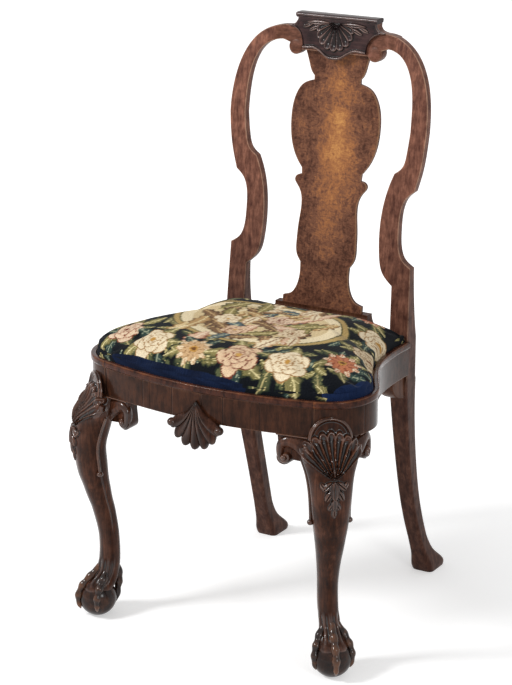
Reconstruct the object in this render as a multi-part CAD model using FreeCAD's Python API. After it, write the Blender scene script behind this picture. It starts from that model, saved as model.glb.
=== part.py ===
import FreeCAD, Part
import math
import os

# A hoop-backed walnut side chair with carved cabriole front legs and a drop-in seat.
# Millimetres, +Z up, the front towards -Y. The origin is on the floor under the middle of the chair.

Vector = FreeCAD.Vector

# Seat plan, measured on the outer edge of the moulded lip
SEAT_HEIGHT = 470.0
SEAT_FRONT = -264.0
SEAT_HALF_WIDTH = 256.0
SEAT_REAR_HALF = 189.0
CORNER_LINE = -161.0
CORNER_RADIUS = 77.0
SIDE_STRAIGHT = 27.0

# Seat rails, with their veneer and the lip that makes the rebate
RAIL_HEIGHT = 60.0
RAIL_THICKNESS = 34.0
LIP_HEIGHT = 12.0
LIP_WIDTH = 10.0
LIP_OVERHANG = 3.0
LIP_ROUND = 4.0
LIP_MOULDING = [(2.0, 0.0), (0.3, 0.25), (0.3, 0.55), (LIP_ROUND * 0.4, 0.85), (LIP_ROUND, 1.0)]
VENEER = 1.2
VENEER_GLUE = 0.15
VENEER_JOINT = 96.0
LAP_ANGLE = 20.0
LEDGE_WIDTH = 14.0

# Tenons and pegs
TENON_THICKNESS = 10.0
TENON_LENGTH = 18.0
TENON_ROOT = 1.0
TENON_MARGIN = 8.0
TENON_GAP = 3.0
PEG_DIAMETER = 7.0

# Rear posts: stile above the seat, raked leg below it
POST_FRONT = 121.0
POST_INNER = 147.0
POST_FACE = 36.0
POST_DEPTH = 38.0
POST_BLOCK = 70.0
STILE_DEPTH = 20.0
STILE_TAPER = 140.0
LEG_WIDTH = 27.0
LEG_DEPTH = 24.0
REAR_FOOT_LINE = 244.0
REAR_LEG_SAG = 16.0
REAR_FOOT_RADIUS = 30.0
REAR_FOOT_HEIGHT = 52.0

# Back: heights are above the seat
BACK_HEIGHT = 530.0
BACK_RAKE = 73.0
BACK_SAG = 8.0
LOWER_STEP_OUTER = 125.0
LOWER_STEP_INNER = 90.0
UPPER_STEP_OUTER = 255.0
UPPER_STEP_INNER = 282.0
STEP_SETBACK = 4.0
WAIST_DEPTH = 26.0
HOOP_STEP_OUTER = 176.0
HOOP_STEP_INNER = 136.0
HOOP_WIDEST = 355.0
HOOP_HALF_WIDTH = 193.0
HOOP_FACE = 31.0
HOOP_BAND = 25.0
HOOP_SQUARENESS = 2.3
CREST_HALF = 118.0
CREST_RISE = 20.0
CREST_THICKNESS = 22.0
CREST_CLEAR = 60.0

# Carved tablet of the crest rail
TABLET_HALF = 83.0
TABLET_DROP = 71.0
TABLET_RELIEF = 4.0
CORNICE_HEIGHT = 9.0
CORNICE_PROUD = 2.0
NECK_INSET = 2.5
TABLET_STEP = 2.0
TABLET_HOLLOW = 5.0
VOLUTE_RADIUS = 14.0
VOLUTE_CENTRE = 77.0
VOLUTE_DROP = 55.0

# Splat and its shoe
SPLAT_HEAD = 63.0
SPLAT_NECK = 45.0
SPLAT_HALF = 87.0
SPLAT_WAIST = 54.5
SPLAT_LUG = 71.0
SPLAT_STEM = 48.0
SPLAT_FOOT = 79.0
SPLAT_THICKNESS = 7.0
SPLAT_VENEER = 1.5
SPLAT_SETBACK = 22.0
SPLAT_BOW = 0.55
SPLAT_RETURN = 1.6
SPLAT_TENON = 14.0
SHOE_HEIGHT = 26.0
SHOE_HALF = 100.0
SHOE_COVE = 12.0
SHOE_LIP = 4.0
SHOE_NOSE = 2.0

# Cabriole front legs: reach is measured outwards from the corner's centre, at an angle to the x axis
LEG_TURN = 49.0
KNEE_PROUD = 45.0
KNEE_DEPTH = 69.0
KNEE_WIDTH = 73.0
ANKLE_PROUD = 0.5
ANKLE_DIAMETER = 35.0
FOOT_PROUD = 5.0
BALL_RADIUS = 35.0
BALL_CENTRE = 33.5
CLAW_REACH = 37.0
CLAW_THICKNESS = 21.0
CLAW_KNUCKLES = [(0.0, 1.0), (0.3, 0.82), (0.55, 0.9), (0.8, 0.66), (1.0, 0.3)]
CLAW_FRONT = (-8.0, 118.0)
CLAW_REAR = (30.0, 112.0)
CLAW_SPREAD = 74.0
LEG_SQUARENESS = 2.5
LEG_TENON_DIAMETER = 22.0
LEG_TENON_LENGTH = 44.0
LAP_RISE = 36.0
LAP_HALF = 32.5
LAP_DEPTH = 24.0

# Scrolled ears beside the knees and brackets at the rear legs
EAR_FRONT_REACH = 37.0
EAR_SIDE_REACH = 25.0
EAR_DROP = 53.0
EAR_THICKNESS = 24.0
EAR_SCROLL_RADIUS = 12.0
EAR_HOLLOW = 2.5
BRACKET_LENGTH = 30.0
BRACKET_THICKNESS = 22.0

# Carved shell on the front rail
SHELL_HALF = 49.0
SHELL_TOP = 31.0
SHELL_DROP = 47.0
SHELL_RELIEF = 13.0
SHELL_SPARE = 6.0
SHELL_LOBES = 9
SHELL_HINGE = 8.0
SHELL_WING_DROP = 6.0
SHELL_NOTCH = 0.94

# Corner blocks and their screws
BLOCK_HEIGHT = 44.0
BLOCK_LEG = 52.0
SCREW_DIAMETER = 4.5
SCREW_LENGTH = 30.0
SCREW_HEAD_DIAMETER = 9.0
SCREW_HEAD_HEIGHT = 3.0

# Drop-in seat
SEAT_CLEARANCE = 1.0
REST_GAP = 0.3
COVER = 1.5
SLIP_THICKNESS = 16.0
SLIP_WIDTH = 48.0
SLIP_GAP = 0.3
WEB_WIDTH = 52.0
WEB_THICKNESS = 1.5
WEB_PITCH = 84.0
CLOTH = 1.0
CROWN = 40.0
EDGE_RISE = 9.0
TURN_UNDER = 44.0
TACK_DIAMETER = 8.0
TACK_HEAD = 1.2
TACK_SHANK = 2.4
TACK_LENGTH = 9.0
TACK_PITCH = 44.0
TACK_ROOM = 2.0

# Places that follow from the sizes above
RAIL_BOTTOM = SEAT_HEIGHT - RAIL_HEIGHT
LEDGE = SEAT_HEIGHT - LIP_HEIGHT
CREST_TOP = SEAT_HEIGHT + BACK_HEIGHT
HOOP_TOP = CREST_TOP - CREST_RISE
CREST_BOTTOM = CREST_TOP - CREST_CLEAR
BLOCK_FOOT = SEAT_HEIGHT - POST_BLOCK
POST_BACK = POST_FRONT + POST_DEPTH
POST_OUTER = POST_INNER + POST_FACE
SHOE_TOP = SEAT_HEIGHT + SHOE_HEIGHT
FACE_INSET = LIP_OVERHANG
RAIL_INSET = LIP_OVERHANG + VENEER + VENEER_GLUE
RAIL_INNER = RAIL_INSET + RAIL_THICKNESS
SEAT_INSET = LIP_WIDTH + SEAT_CLEARANCE
SLIP_INSET = SEAT_INSET + COVER + SLIP_GAP
SLIP_BOTTOM = LEDGE + REST_GAP + COVER
SLIP_TOP = SLIP_BOTTOM + SLIP_THICKNESS
SEAT_REAR = POST_FRONT - SEAT_CLEARANCE
CORNER_X = SEAT_HALF_WIDTH - CORNER_RADIUS
LEG_WAY = Vector(math.cos(math.radians(LEG_TURN)), -math.sin(math.radians(LEG_TURN)), 0)
FAR = 2.0 * CREST_TOP


def outline(runs, place):
    """Face inside runs of points laid end to end: two points make a line, more a smooth curve."""
    edges = []
    for run in runs:
        points = [place(a, b) for a, b in run]
        if len(points) == 2:
            edges.append(Part.makeLine(points[0], points[1]))
        else:
            curve = Part.BSplineCurve()
            curve.interpolate(points)
            edges.append(curve.toShape())
    return Part.Face(Part.Wire(edges))


def front_plate(runs, near=-FAR, far=FAR):
    """Outline in x and z, sawn through from y = near to y = far."""
    return outline(runs, lambda x, z: Vector(x, near, z)).extrude(Vector(0, far - near, 0))


def side_plate(runs, left=-FAR, right=FAR):
    """Outline in y and z, sawn through from x = left to x = right."""
    return outline(runs, lambda y, z: Vector(left, y, z)).extrude(Vector(right - left, 0, 0))


def plan_plate(runs, bottom, top):
    """Outline in x and y, sawn through from z = bottom to z = top."""
    return outline(runs, lambda x, y: Vector(x, y, bottom)).extrude(Vector(0, 0, top - bottom))


def polygon(points):
    """Straight runs round the points, back to the first."""
    return [[a, b] for a, b in zip(points, points[1:] + points[:1])]


def block(x, y, z):
    """Box between pairs of x, y and z."""
    return Part.makeBox(x[1] - x[0], y[1] - y[0], z[1] - z[0], Vector(x[0], y[0], z[0]))


def rod(start, direction, length, diameter):
    """Round bar from a point along a direction."""
    return Part.makeCylinder(diameter / 2, length, start, direction)


def mirrored(shape):
    """The same piece on the other side of the chair."""
    return shape.mirror(Vector(0, 0, 0), Vector(1, 0, 0))


def whole(half):
    """Both sides of an outline that is given on the right, from the top of the centre line to its foot."""
    other = [[(-x, z) for x, z in reversed(run)] for run in reversed(half)]

    def across(left, right):
        return left[:-1] + right if len(right) > 2 else [left[0], right[-1]]

    return [across(other[-1], half[0])] + half[1:-1] + [across(half[-1], other[0])] + other[1:-1]


def fused(shapes):
    """One solid from shapes that meet."""
    solid = shapes[0]
    for shape in shapes[1:]:
        solid = solid.fuse(shape)
    return solid


def largest(shape):
    """The main solid of a shape that a cut left in several."""
    return max(shape.Solids, key=lambda solid: solid.Volume)


# The line of the back
def back_front(z):
    """Front face of the posts and the crest rail: a raked line, hollowed by the sag."""
    share = (z - SEAT_HEIGHT) / BACK_HEIGHT
    return POST_FRONT + BACK_RAKE * share - 4 * BACK_SAG * share * (1 - share)


def splat_front(z):
    """Front face of the splat: bowed back behind the posts, and brought forward to the crest rail."""
    share = (z - SEAT_HEIGHT) / BACK_HEIGHT
    return back_front(z) + SPLAT_SETBACK * (1 + SPLAT_BOW * share - SPLAT_RETURN * share ** 5)


def stile_back(z):
    """Back face of a post above the seat: deep at the seat, then an even thickness."""
    fade = max(0.0, 1 - (z - SEAT_HEIGHT) / STILE_TAPER)
    return back_front(z) + STILE_DEPTH + (POST_DEPTH - STILE_DEPTH) * fade ** 2


def steps(start, end, count):
    """Even places from start to end."""
    return [start + (end - start) * index / (count - 1) for index in range(count)]


def back_band(line, near, far, bottom, top):
    """Board that follows a line of the back, between two depths behind it."""
    levels = steps(bottom, top, 9)
    front = [(line(z) + near, z) for z in levels]
    rear = [(line(z) + far, z) for z in reversed(levels)]
    return side_plate([front, [front[-1], rear[0]], rear, [rear[-1], front[0]]])


# The seat's plan: a bowed front, round corners and hollow sides
FRONT_GAP = CORNER_LINE - SEAT_FRONT
FRONT_RADIUS = ((CORNER_X ** 2 + FRONT_GAP ** 2 - CORNER_RADIUS ** 2) / (2 * (FRONT_GAP - CORNER_RADIUS)))
SIDE_END = POST_FRONT - SIDE_STRAIGHT
SIDE_SHIFT = SEAT_REAR_HALF - CORNER_X
SIDE_RUN = SIDE_END - CORNER_LINE
SIDE_RADIUS = ((SIDE_SHIFT ** 2 + SIDE_RUN ** 2 - CORNER_RADIUS ** 2) / (2 * (CORNER_RADIUS - SIDE_SHIFT)))
SIDE_TURN = math.asin(SIDE_RUN / (CORNER_RADIUS + SIDE_RADIUS))
FRONT_TURN = math.atan2(CORNER_LINE - SEAT_FRONT - FRONT_RADIUS, CORNER_X)


def seat_wire(inset, rear, z, scale=1.0):
    """Closed plan of the seat, parallel to the lip's edge, drawn in about the middle by a scale."""
    middle = (SEAT_FRONT + rear) / 2

    def spot(x, y):
        return Vector(x * scale, middle + (y - middle) * scale, z)

    def corner(angle):
        radius = CORNER_RADIUS - inset
        return CORNER_X + radius * math.cos(angle), CORNER_LINE + radius * math.sin(angle)

    def hollow(angle):
        reach = CORNER_RADIUS + SIDE_RADIUS
        centre_x = CORNER_X + reach * math.cos(SIDE_TURN)
        centre_y = CORNER_LINE + reach * math.sin(SIDE_TURN)
        radius = SIDE_RADIUS + inset
        return centre_x - radius * math.cos(angle), centre_y - radius * math.sin(angle)

    def arc(start, mid, end, side):
        return Part.Arc(*[spot(side * x, y) for x, y in (start, mid, end)]).toShape()

    def line(start, end):
        return Part.makeLine(spot(*start), spot(*end))

    front_corner = corner(FRONT_TURN)
    side_corner = corner(SIDE_TURN)
    corner_middle = corner((FRONT_TURN + SIDE_TURN) / 2)
    side_middle = hollow(SIDE_TURN / 2)
    side_end = hollow(0.0)
    rear_end = (side_end[0], rear)
    front_left = (-front_corner[0], front_corner[1])
    edges = [Part.Arc(spot(*front_left), spot(0, SEAT_FRONT + inset), spot(*front_corner)).toShape()]
    edges.append(arc(front_corner, corner_middle, side_corner, 1))
    edges.append(arc(side_corner, side_middle, side_end, 1))
    edges.append(line(side_end, rear_end))
    edges.append(line(rear_end, (-rear_end[0], rear)))
    edges.append(line((-rear_end[0], rear), (-side_end[0], side_end[1])))
    edges.append(arc(side_end, side_middle, side_corner, -1))
    edges.append(arc(side_corner, corner_middle, front_corner, -1))
    return Part.Wire(edges)


def seat_prism(inset, rear, bottom, top):
    """Upright block on the seat's plan."""
    return Part.Face(seat_wire(inset, rear, bottom)).extrude(Vector(0, 0, top - bottom))


def seat_band(outer, inner, bottom, top, rear=POST_FRONT):
    """Rail-like band round the front and sides, between two insets, open at the posts."""
    return seat_prism(outer, rear, bottom, top).cut(seat_prism(inner, rear + POST_DEPTH, bottom, top))


def front_zone(angle, bottom, top):
    """The front of the seat, between rays from the two corner centres at an angle to the x axis."""
    reach_x = CORNER_X + FAR * math.cos(angle)
    reach_y = CORNER_LINE + FAR * math.sin(angle)
    corners = [(-CORNER_X, CORNER_LINE), (CORNER_X, CORNER_LINE), (reach_x, reach_y), (-reach_x, reach_y)]
    return plan_plate(polygon(corners), bottom, top)


def right_half(shape):
    """The part of a shape on the chair's right, where x is positive."""
    return shape.common(block((0, FAR), (-FAR, FAR), (-FAR, FAR)))


# Front outlines of the back
def hoop_height(x, half, face_top, squareness):
    """Height of an arch edge at x: a squared ellipse from its widest place to its flat top."""
    centre = CREST_HALF - HOOP_BAND
    share = (x - centre) / (half - centre)
    rise = face_top - hoop_widest()
    return hoop_widest() + rise * (1 - share ** squareness) ** (1 / squareness)


def hoop_widest():
    """Height at which the hoop is widest."""
    return SEAT_HEIGHT + HOOP_WIDEST


def hoop_edge(half, top, squareness):
    """Points of an arch edge from its widest place to the crest joint."""
    spread = half - CREST_HALF
    places = [half - spread * share for share in (0.06, 0.2, 0.5, 0.8)]
    edge = [(half, hoop_widest())] + [(x, hoop_height(x, half, top, squareness)) for x in places]
    return edge + [(CREST_HALF, hoop_height(CREST_HALF, half, top, squareness))]


def scoop(start, end, depth, stations):
    """Curve from start to end that is drawn towards the centre line, by shares of a depth at stations."""
    points = [start]
    for along, share in stations:
        x = start[0] + (end[0] - start[0]) * along - depth * share
        points.append((x, start[1] + (end[1] - start[1]) * along))
    return points + [end]


HOOP_INNER_HALF = HOOP_HALF_WIDTH - HOOP_FACE
HOOP_INNER_SQUARENESS = HOOP_SQUARENESS * 1.22
OUTER_SCOOP = [(0.1, 0.66), (0.24, 0.93), (0.48, 1.0), (0.74, 0.9), (0.9, 0.56)]
INNER_SCOOP = [(0.11, 0.75), (0.25, 0.98), (0.48, 1.0), (0.74, 0.72), (0.93, 0.24)]


def post_outline():
    """Front outline of the right post, from its foot up the outside and down the inside."""
    leg_centre = POST_INNER + POST_FACE / 2
    levels = steps(REAR_FOOT_HEIGHT / 2, BLOCK_FOOT, 6)

    def leg_half(z):
        return (LEG_WIDTH + (POST_FACE - LEG_WIDTH) * (z / BLOCK_FOOT) ** 3) / 2

    lower_outer = (POST_OUTER - STEP_SETBACK, SEAT_HEIGHT + LOWER_STEP_OUTER)
    lower_inner = (POST_INNER - STEP_SETBACK / 2, SEAT_HEIGHT + LOWER_STEP_INNER)
    upper_outer = (HOOP_STEP_OUTER, SEAT_HEIGHT + UPPER_STEP_OUTER)
    upper_inner = (HOOP_STEP_INNER, SEAT_HEIGHT + UPPER_STEP_INNER)
    outer_edge = hoop_edge(HOOP_HALF_WIDTH, HOOP_TOP, HOOP_SQUARENESS)
    inner_edge = hoop_edge(HOOP_INNER_HALF, HOOP_TOP - HOOP_BAND, HOOP_INNER_SQUARENESS)
    outer_bulge = 0.2 * (HOOP_HALF_WIDTH - HOOP_STEP_OUTER)
    inner_bulge = 0.4 * (HOOP_INNER_HALF - HOOP_STEP_INNER)
    outer_spring = scoop(upper_outer, outer_edge[0], -outer_bulge, [(0.35, 1.0)])
    inner_spring = scoop(upper_inner, inner_edge[0], -inner_bulge, [(0.16, 0.95), (0.45, 0.9)])
    outer_leg = [(leg_centre + leg_half(z), z) for z in levels]
    inner_leg = [(leg_centre - leg_half(z), z) for z in reversed(levels)]
    runs = [outer_leg, [outer_leg[-1], (POST_OUTER, SEAT_HEIGHT)], [(POST_OUTER, SEAT_HEIGHT), lower_outer]]
    runs.append(scoop(lower_outer, upper_outer, WAIST_DEPTH, OUTER_SCOOP))
    runs.append(outer_spring + outer_edge[1:])
    runs.append([outer_edge[-1], inner_edge[-1]])
    runs.append(list(reversed(inner_spring + inner_edge[1:])))
    runs.append(list(reversed(scoop(lower_inner, upper_inner, WAIST_DEPTH, INNER_SCOOP))))
    runs.append([lower_inner, (POST_INNER, SEAT_HEIGHT)])
    runs.append([(POST_INNER, SEAT_HEIGHT), inner_leg[0]])
    runs.append(inner_leg)
    runs.append([inner_leg[-1], outer_leg[0]])
    return runs


def post_profile():
    """Side outline of a post: raked leg, square block at the seat, hollow raked stile."""
    levels = steps(REAR_FOOT_HEIGHT / 2, BLOCK_FOOT, 6)
    block_centre = (POST_FRONT + POST_BACK) / 2

    def leg_centre(z):
        share = z / BLOCK_FOOT
        straight = REAR_FOOT_LINE + (block_centre - REAR_FOOT_LINE) * share
        return straight - 4 * REAR_LEG_SAG * share * (1 - share)

    def leg_half(z):
        return (LEG_DEPTH + (POST_DEPTH - LEG_DEPTH) * (z / BLOCK_FOOT) ** 4) / 2

    leg_front = [(leg_centre(z) - leg_half(z), z) for z in levels]
    leg_back = [(leg_centre(z) + leg_half(z), z) for z in reversed(levels)]
    heights = steps(SEAT_HEIGHT, CREST_TOP, 11)
    stile_front = [(back_front(z), z) for z in heights]
    stile_rear = [(stile_back(z), z) for z in reversed(heights)]
    return [leg_front, [leg_front[-1], stile_front[0]], stile_front, [stile_front[-1], stile_rear[0]],
            stile_rear, [stile_rear[-1], leg_back[0]], leg_back, [leg_back[-1], leg_front[0]]]


def rear_foot():
    """Flared club foot under the right rear leg."""
    radius = REAR_FOOT_RADIUS
    height = REAR_FOOT_HEIGHT
    axis = Vector(POST_INNER + POST_FACE / 2, REAR_FOOT_LINE, 0)
    sole = radius * 0.8
    neck = LEG_DEPTH * 0.36
    edge = [(sole, 0), (radius, height * 0.14), (radius * 0.96, height * 0.27),
            (radius * 0.74, height * 0.46), (radius * 0.56, height * 0.7), (neck, height)]
    face = outline([[(0, 0), (sole, 0)], edge, [(neck, height), (0, height)], [(0, height), (0, 0)]],
                   lambda r, z: axis + Vector(r, 0, z))
    return face.revolve(axis, Vector(0, 0, 1), 360)


def crest_tenon():
    """Tenon on the right post's end, which enters the crest rail."""
    low = hoop_height(CREST_HALF, HOOP_INNER_HALF, HOOP_TOP - HOOP_BAND, HOOP_INNER_SQUARENESS)
    high = hoop_height(CREST_HALF, HOOP_HALF_WIDTH, HOOP_TOP, HOOP_SQUARENESS)
    middle = (low + high) / 2
    depth = back_front(middle) + STILE_DEPTH / 2
    return block((CREST_HALF - TENON_LENGTH, CREST_HALF + TENON_ROOT),
                 (depth - TENON_THICKNESS / 2, depth + TENON_THICKNESS / 2),
                 (middle - HOOP_BAND / 4, middle + HOOP_BAND / 4))


def crest_outline():
    """Right half of the crest rail: raised middle, hoop ends and a scroll beside the splat."""
    top = hoop_height(CREST_HALF, HOOP_HALF_WIDTH, HOOP_TOP, HOOP_SQUARENESS)
    low = hoop_height(CREST_HALF, HOOP_INNER_HALF, HOOP_TOP - HOOP_BAND, HOOP_INNER_SQUARENESS)
    shoulder = (CREST_HALF - HOOP_BAND, HOOP_TOP)
    neck = TABLET_HALF - NECK_INSET
    neck_height = CREST_TOP - CORNICE_HEIGHT
    scroll = (VOLUTE_CENTRE, CREST_TOP - VOLUTE_DROP)

    def rim(degrees):
        angle = math.radians(degrees)
        return scroll[0] + VOLUTE_RADIUS * math.cos(angle), scroll[1] + VOLUTE_RADIUS * math.sin(angle)

    inner_end = (CREST_HALF - HOOP_BAND * 0.6, HOOP_TOP - HOOP_BAND)
    flare = [(neck, neck_height), (TABLET_HALF, (neck_height + HOOP_TOP) / 2), shoulder]
    ends = [shoulder, ((shoulder[0] + CREST_HALF) / 2, (HOOP_TOP * 3 + top) / 4), (CREST_HALF, top)]
    under = [(CREST_HALF, low), ((CREST_HALF + inner_end[0]) / 2, (low + 3 * inner_end[1]) / 4), inner_end]
    return [[(0, CREST_TOP), (TABLET_HALF, CREST_TOP)], [(TABLET_HALF, CREST_TOP), (neck, neck_height)],
            flare, ends, [(CREST_HALF, top), (CREST_HALF, low)], under, [inner_end, rim(40)],
            [rim(40), rim(0), rim(-45), rim(-90), rim(-135), rim(-170)],
            [rim(-170), (rim(-170)[0], CREST_BOTTOM)], [(rim(-170)[0], CREST_BOTTOM), (0, CREST_BOTTOM)]]


def tablet_outline():
    """Right half of the carved tablet: cornice, flared neck, scroll edge and a dropped middle."""
    neck = (TABLET_HALF - NECK_INSET, CREST_TOP - CORNICE_HEIGHT)
    flare = [neck, (TABLET_HALF, (neck[1] + HOOP_TOP) / 2), (CREST_HALF - HOOP_BAND, HOOP_TOP)]
    corner = (VOLUTE_CENTRE - VOLUTE_RADIUS, CREST_TOP - VOLUTE_DROP - TABLET_STEP)
    scroll_edge = scoop(flare[-1], corner, TABLET_HOLLOW, [(0.35, 0.5), (0.7, 1.0)])
    inner = (TABLET_HALF / 2, corner[1] + TABLET_STEP)
    fall = CREST_TOP - TABLET_DROP - inner[1]
    stations = ((1.0, 0.0), (0.76, 0.2), (0.52, 0.56), (0.0, 1.0))
    drop = [(inner[0] * width, inner[1] + fall * share) for width, share in stations]
    return [[(0, CREST_TOP), (TABLET_HALF, CREST_TOP)], [(TABLET_HALF, CREST_TOP), neck], flare, scroll_edge,
            [corner, inner], drop]


def splat_height(share):
    """Height on the splat, from the shoe at 0 to the crest rail at 1."""
    return SHOE_TOP + (CREST_BOTTOM - SHOE_TOP) * share


def splat_outline():
    """Right half of the vase-shaped splat: runs between a narrow and a wide half width, from the top down."""
    flank = [
        (SPLAT_NECK, SPLAT_HEAD, [(0.61, 0.95), (0.22, 0.91), (0.0, 0.9)]),
        (SPLAT_NECK, SPLAT_HEAD, [(0.0, 0.883)]),
        (SPLAT_NECK, SPLAT_HALF, [(0.476, 0.866), (0.81, 0.824), (1.0, 0.72), (0.81, 0.61), (0.524, 0.56),
                                  (0.333, 0.538)]),
        (SPLAT_WAIST, SPLAT_LUG, [(0.21, 0.512)]),
        (SPLAT_WAIST, SPLAT_LUG, [(0.82, 0.505), (1.0, 0.492), (0.636, 0.468), (0.18, 0.44), (0.0, 0.393),
                                  (0.18, 0.32), (0.27, 0.25), (0.12, 0.197), (-0.36, 0.17)]),
        (SPLAT_STEM, SPLAT_FOOT, [(0.0, 0.135), (0.177, 0.071), (0.484, 0.041), (1.0, 0.027)]),
        (SPLAT_STEM, SPLAT_FOOT, [(1.0, 0.0)]),
    ]
    runs = []
    start = (SPLAT_HEAD, splat_height(1.0))
    for narrow, wide, stations in flank:
        places = [(narrow + (wide - narrow) * share, splat_height(level)) for share, level in stations]
        runs.append([start] + places)
        start = places[-1]
    top = runs[0][0]
    foot = runs[-1][-1]
    return [[(0, top[1]), top]] + runs + [[foot, (0, foot[1])]]


def splat_tenons():
    """Tenons of the splat: a thin one in the crest rail and a full one in the shoe."""
    width = SPLAT_NECK * 0.8
    margin = SPLAT_THICKNESS / 4
    top = CREST_BOTTOM + SPLAT_TENON
    upper = back_band(splat_front, margin, SPLAT_THICKNESS - margin, CREST_BOTTOM, top)
    lower = back_band(splat_front, margin, SPLAT_THICKNESS, SHOE_TOP - SPLAT_TENON, SHOE_TOP)
    reach = SPLAT_FOOT * 0.8
    return (upper.common(block((-width, width), (-FAR, FAR), (0, FAR))),
            lower.common(block((-reach, reach), (-FAR, FAR), (0, FAR))))


def splat_shoe():
    """Shoe on the rear rail: hollow front and ends, square back."""
    front = splat_front(SHOE_TOP) - SPLAT_VENEER
    nose = front - SHOE_NOSE
    foot = front - SHOE_COVE
    low = SEAT_HEIGHT + SHOE_LIP
    middle = SEAT_HEIGHT + SHOE_HEIGHT * 0.42
    high = SHOE_TOP - SHOE_LIP
    cove = [(foot, low), (front - SHOE_COVE * 0.55, middle), (nose, high)]
    profile = [[(foot, SEAT_HEIGHT), (foot, low)], cove]
    profile += polygon([(nose, high), (nose, SHOE_TOP), (POST_BACK, SHOE_TOP), (POST_BACK, SEAT_HEIGHT),
                        (foot, SEAT_HEIGHT)])[:-1]
    top = SHOE_HALF - SHOE_COVE * 0.6
    end = [(top, high), (SHOE_HALF - SHOE_COVE * 0.35, middle), (SHOE_HALF, low)]
    face = whole([[(0, SHOE_TOP), (top, SHOE_TOP)], [(top, SHOE_TOP), end[0]], end,
                  [end[-1], (SHOE_HALF, SEAT_HEIGHT)], [(SHOE_HALF, SEAT_HEIGHT), (0, SEAT_HEIGHT)]])
    return side_plate(profile).common(front_plate(face))


# Front legs
def leg_spot(reach, across, z):
    """Point of the right front leg: reach outwards from the corner's centre, place across it, height."""
    aside = Vector(-LEG_WAY.y, LEG_WAY.x, 0)
    return Vector(CORNER_X, CORNER_LINE, z) + LEG_WAY * reach + aside * across


def smooth_loop(points):
    """Smooth closed curve through points."""
    curve = Part.BSplineCurve()
    curve.interpolate(points, True)
    return Part.Wire([curve.toShape()])


def leg_section(z, outer, depth, half_width):
    """Rounded square section between the outer face and a depth behind it."""
    centre = CORNER_RADIUS + outer - depth / 2
    points = []
    for angle in steps(0, 2 * math.pi, 13)[:-1]:
        along = math.copysign(abs(math.cos(angle)) ** (2 / LEG_SQUARENESS), math.cos(angle))
        aside = math.copysign(abs(math.sin(angle)) ** (2 / LEG_SQUARENESS), math.sin(angle))
        points.append(leg_spot(centre + depth / 2 * along, half_width * aside, z))
    return smooth_loop(points)


def cabriole():
    """The leg's sweep as a loft up from the foot, each section part of the way from the ankle to the knee."""
    rows = [
        (0.06, -0.213, -0.2, -0.21), (0.13, 0.056, 0.18, 0.16), (0.20, 0.09, 0.15, 0.105),
        (0.27, 0.0, 0.0, 0.0), (0.37, 0.011, 0.0, -0.026), (0.49, 0.272, 0.18, 0.16),
        (0.59, 0.596, 0.38, 0.447), (0.69, 0.869, 0.62, 0.737), (0.79, 1.0, 0.765, 0.92),
        (0.87, 0.939, 0.94, 1.0), (0.94, 0.697, 1.0, 0.947), (1.0, 0.292, 0.94, 0.84),
    ]
    sections = []
    for height, proud, deep, wide in rows:
        outer = ANKLE_PROUD + (KNEE_PROUD - ANKLE_PROUD) * proud
        depth = ANKLE_DIAMETER + (KNEE_DEPTH - ANKLE_DIAMETER) * deep
        half = ANKLE_DIAMETER / 2 + (KNEE_WIDTH - ANKLE_DIAMETER) / 2 * wide
        sections.append(leg_section(RAIL_BOTTOM * height, outer, depth, half))
    return Part.makeLoft(sections, True, False)


def knee_lap():
    """Arched top of the knee carving, which laps over the face of the rail."""
    rows = [(0.0, 0.30, 1.0), (0.35, 0.25, 0.96), (0.7, 0.16, 0.74), (1.0, 0.03, 0.2)]
    sections = [leg_section(RAIL_BOTTOM + LAP_RISE * rise, KNEE_PROUD * proud, LAP_DEPTH, LAP_HALF * width)
                for rise, proud, width in rows]
    core = seat_prism(FACE_INSET, POST_FRONT, RAIL_BOTTOM, SEAT_HEIGHT)
    return largest(Part.makeLoft(sections, True, False).cut(core))


def claw(turn, start, end):
    """One claw of the foot: a tapering finger bent over the ball, from start to end degrees off the top."""
    aside = Vector(0, 1, 0)
    rings = []
    for share, size in CLAW_KNUCKLES:
        fall = math.radians(start + (end - start) * share)
        outwards = Vector(math.sin(fall), 0, math.cos(fall))
        radius = CLAW_THICKNESS / 2 * size
        points = []
        for angle in steps(0, 2 * math.pi, 9)[:-1]:
            reach = CLAW_REACH + radius * math.sin(angle)
            points.append(outwards * reach + aside * (radius * math.cos(angle)))
        rings.append(smooth_loop(points))
    finger = Part.makeLoft(rings, True, False)
    finger.rotate(Vector(0, 0, 0), Vector(0, 0, 1), turn - LEG_TURN)
    finger.translate(leg_spot(CORNER_RADIUS + FOOT_PROUD, 0, BALL_CENTRE))
    return finger


def claw_foot():
    """Ball gripped by four claws, cut flat where it stands."""
    ball = Part.makeSphere(BALL_RADIUS, leg_spot(CORNER_RADIUS + FOOT_PROUD, 0, BALL_CENTRE))
    claws = [claw(turn, *CLAW_FRONT) for turn in (0, CLAW_SPREAD, -CLAW_SPREAD)] + [claw(180, *CLAW_REAR)]
    foot = fused([ball] + claws)
    return foot.common(block((-FAR, FAR), (-FAR, FAR), (0, FAR)))


def leg_tenon():
    """Round tenon that rises from the leg through the lapped corner of the rails."""
    reach = CORNER_RADIUS - RAIL_INSET - RAIL_THICKNESS / 2
    return rod(leg_spot(reach, 0, RAIL_BOTTOM), Vector(0, 0, 1), LEG_TENON_LENGTH, LEG_TENON_DIAMETER)


def front_leg():
    """The whole right front leg in one piece."""
    return fused([cabriole(), claw_foot(), knee_lap(), leg_tenon()])


def ear(sawn, leg, in_front):
    """Scrolled bracket beside the knee: a sawn outline cut from a band that follows the rail's face."""
    bottom = RAIL_BOTTOM - EAR_DROP
    band = seat_band(FACE_INSET, FACE_INSET + EAR_THICKNESS, bottom, RAIL_BOTTOM)
    zone = front_zone(-math.radians(LEG_TURN), bottom, RAIL_BOTTOM)
    band = right_half(band.common(zone) if in_front else band.cut(zone))
    return largest(band.common(sawn).cut(leg))


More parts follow.
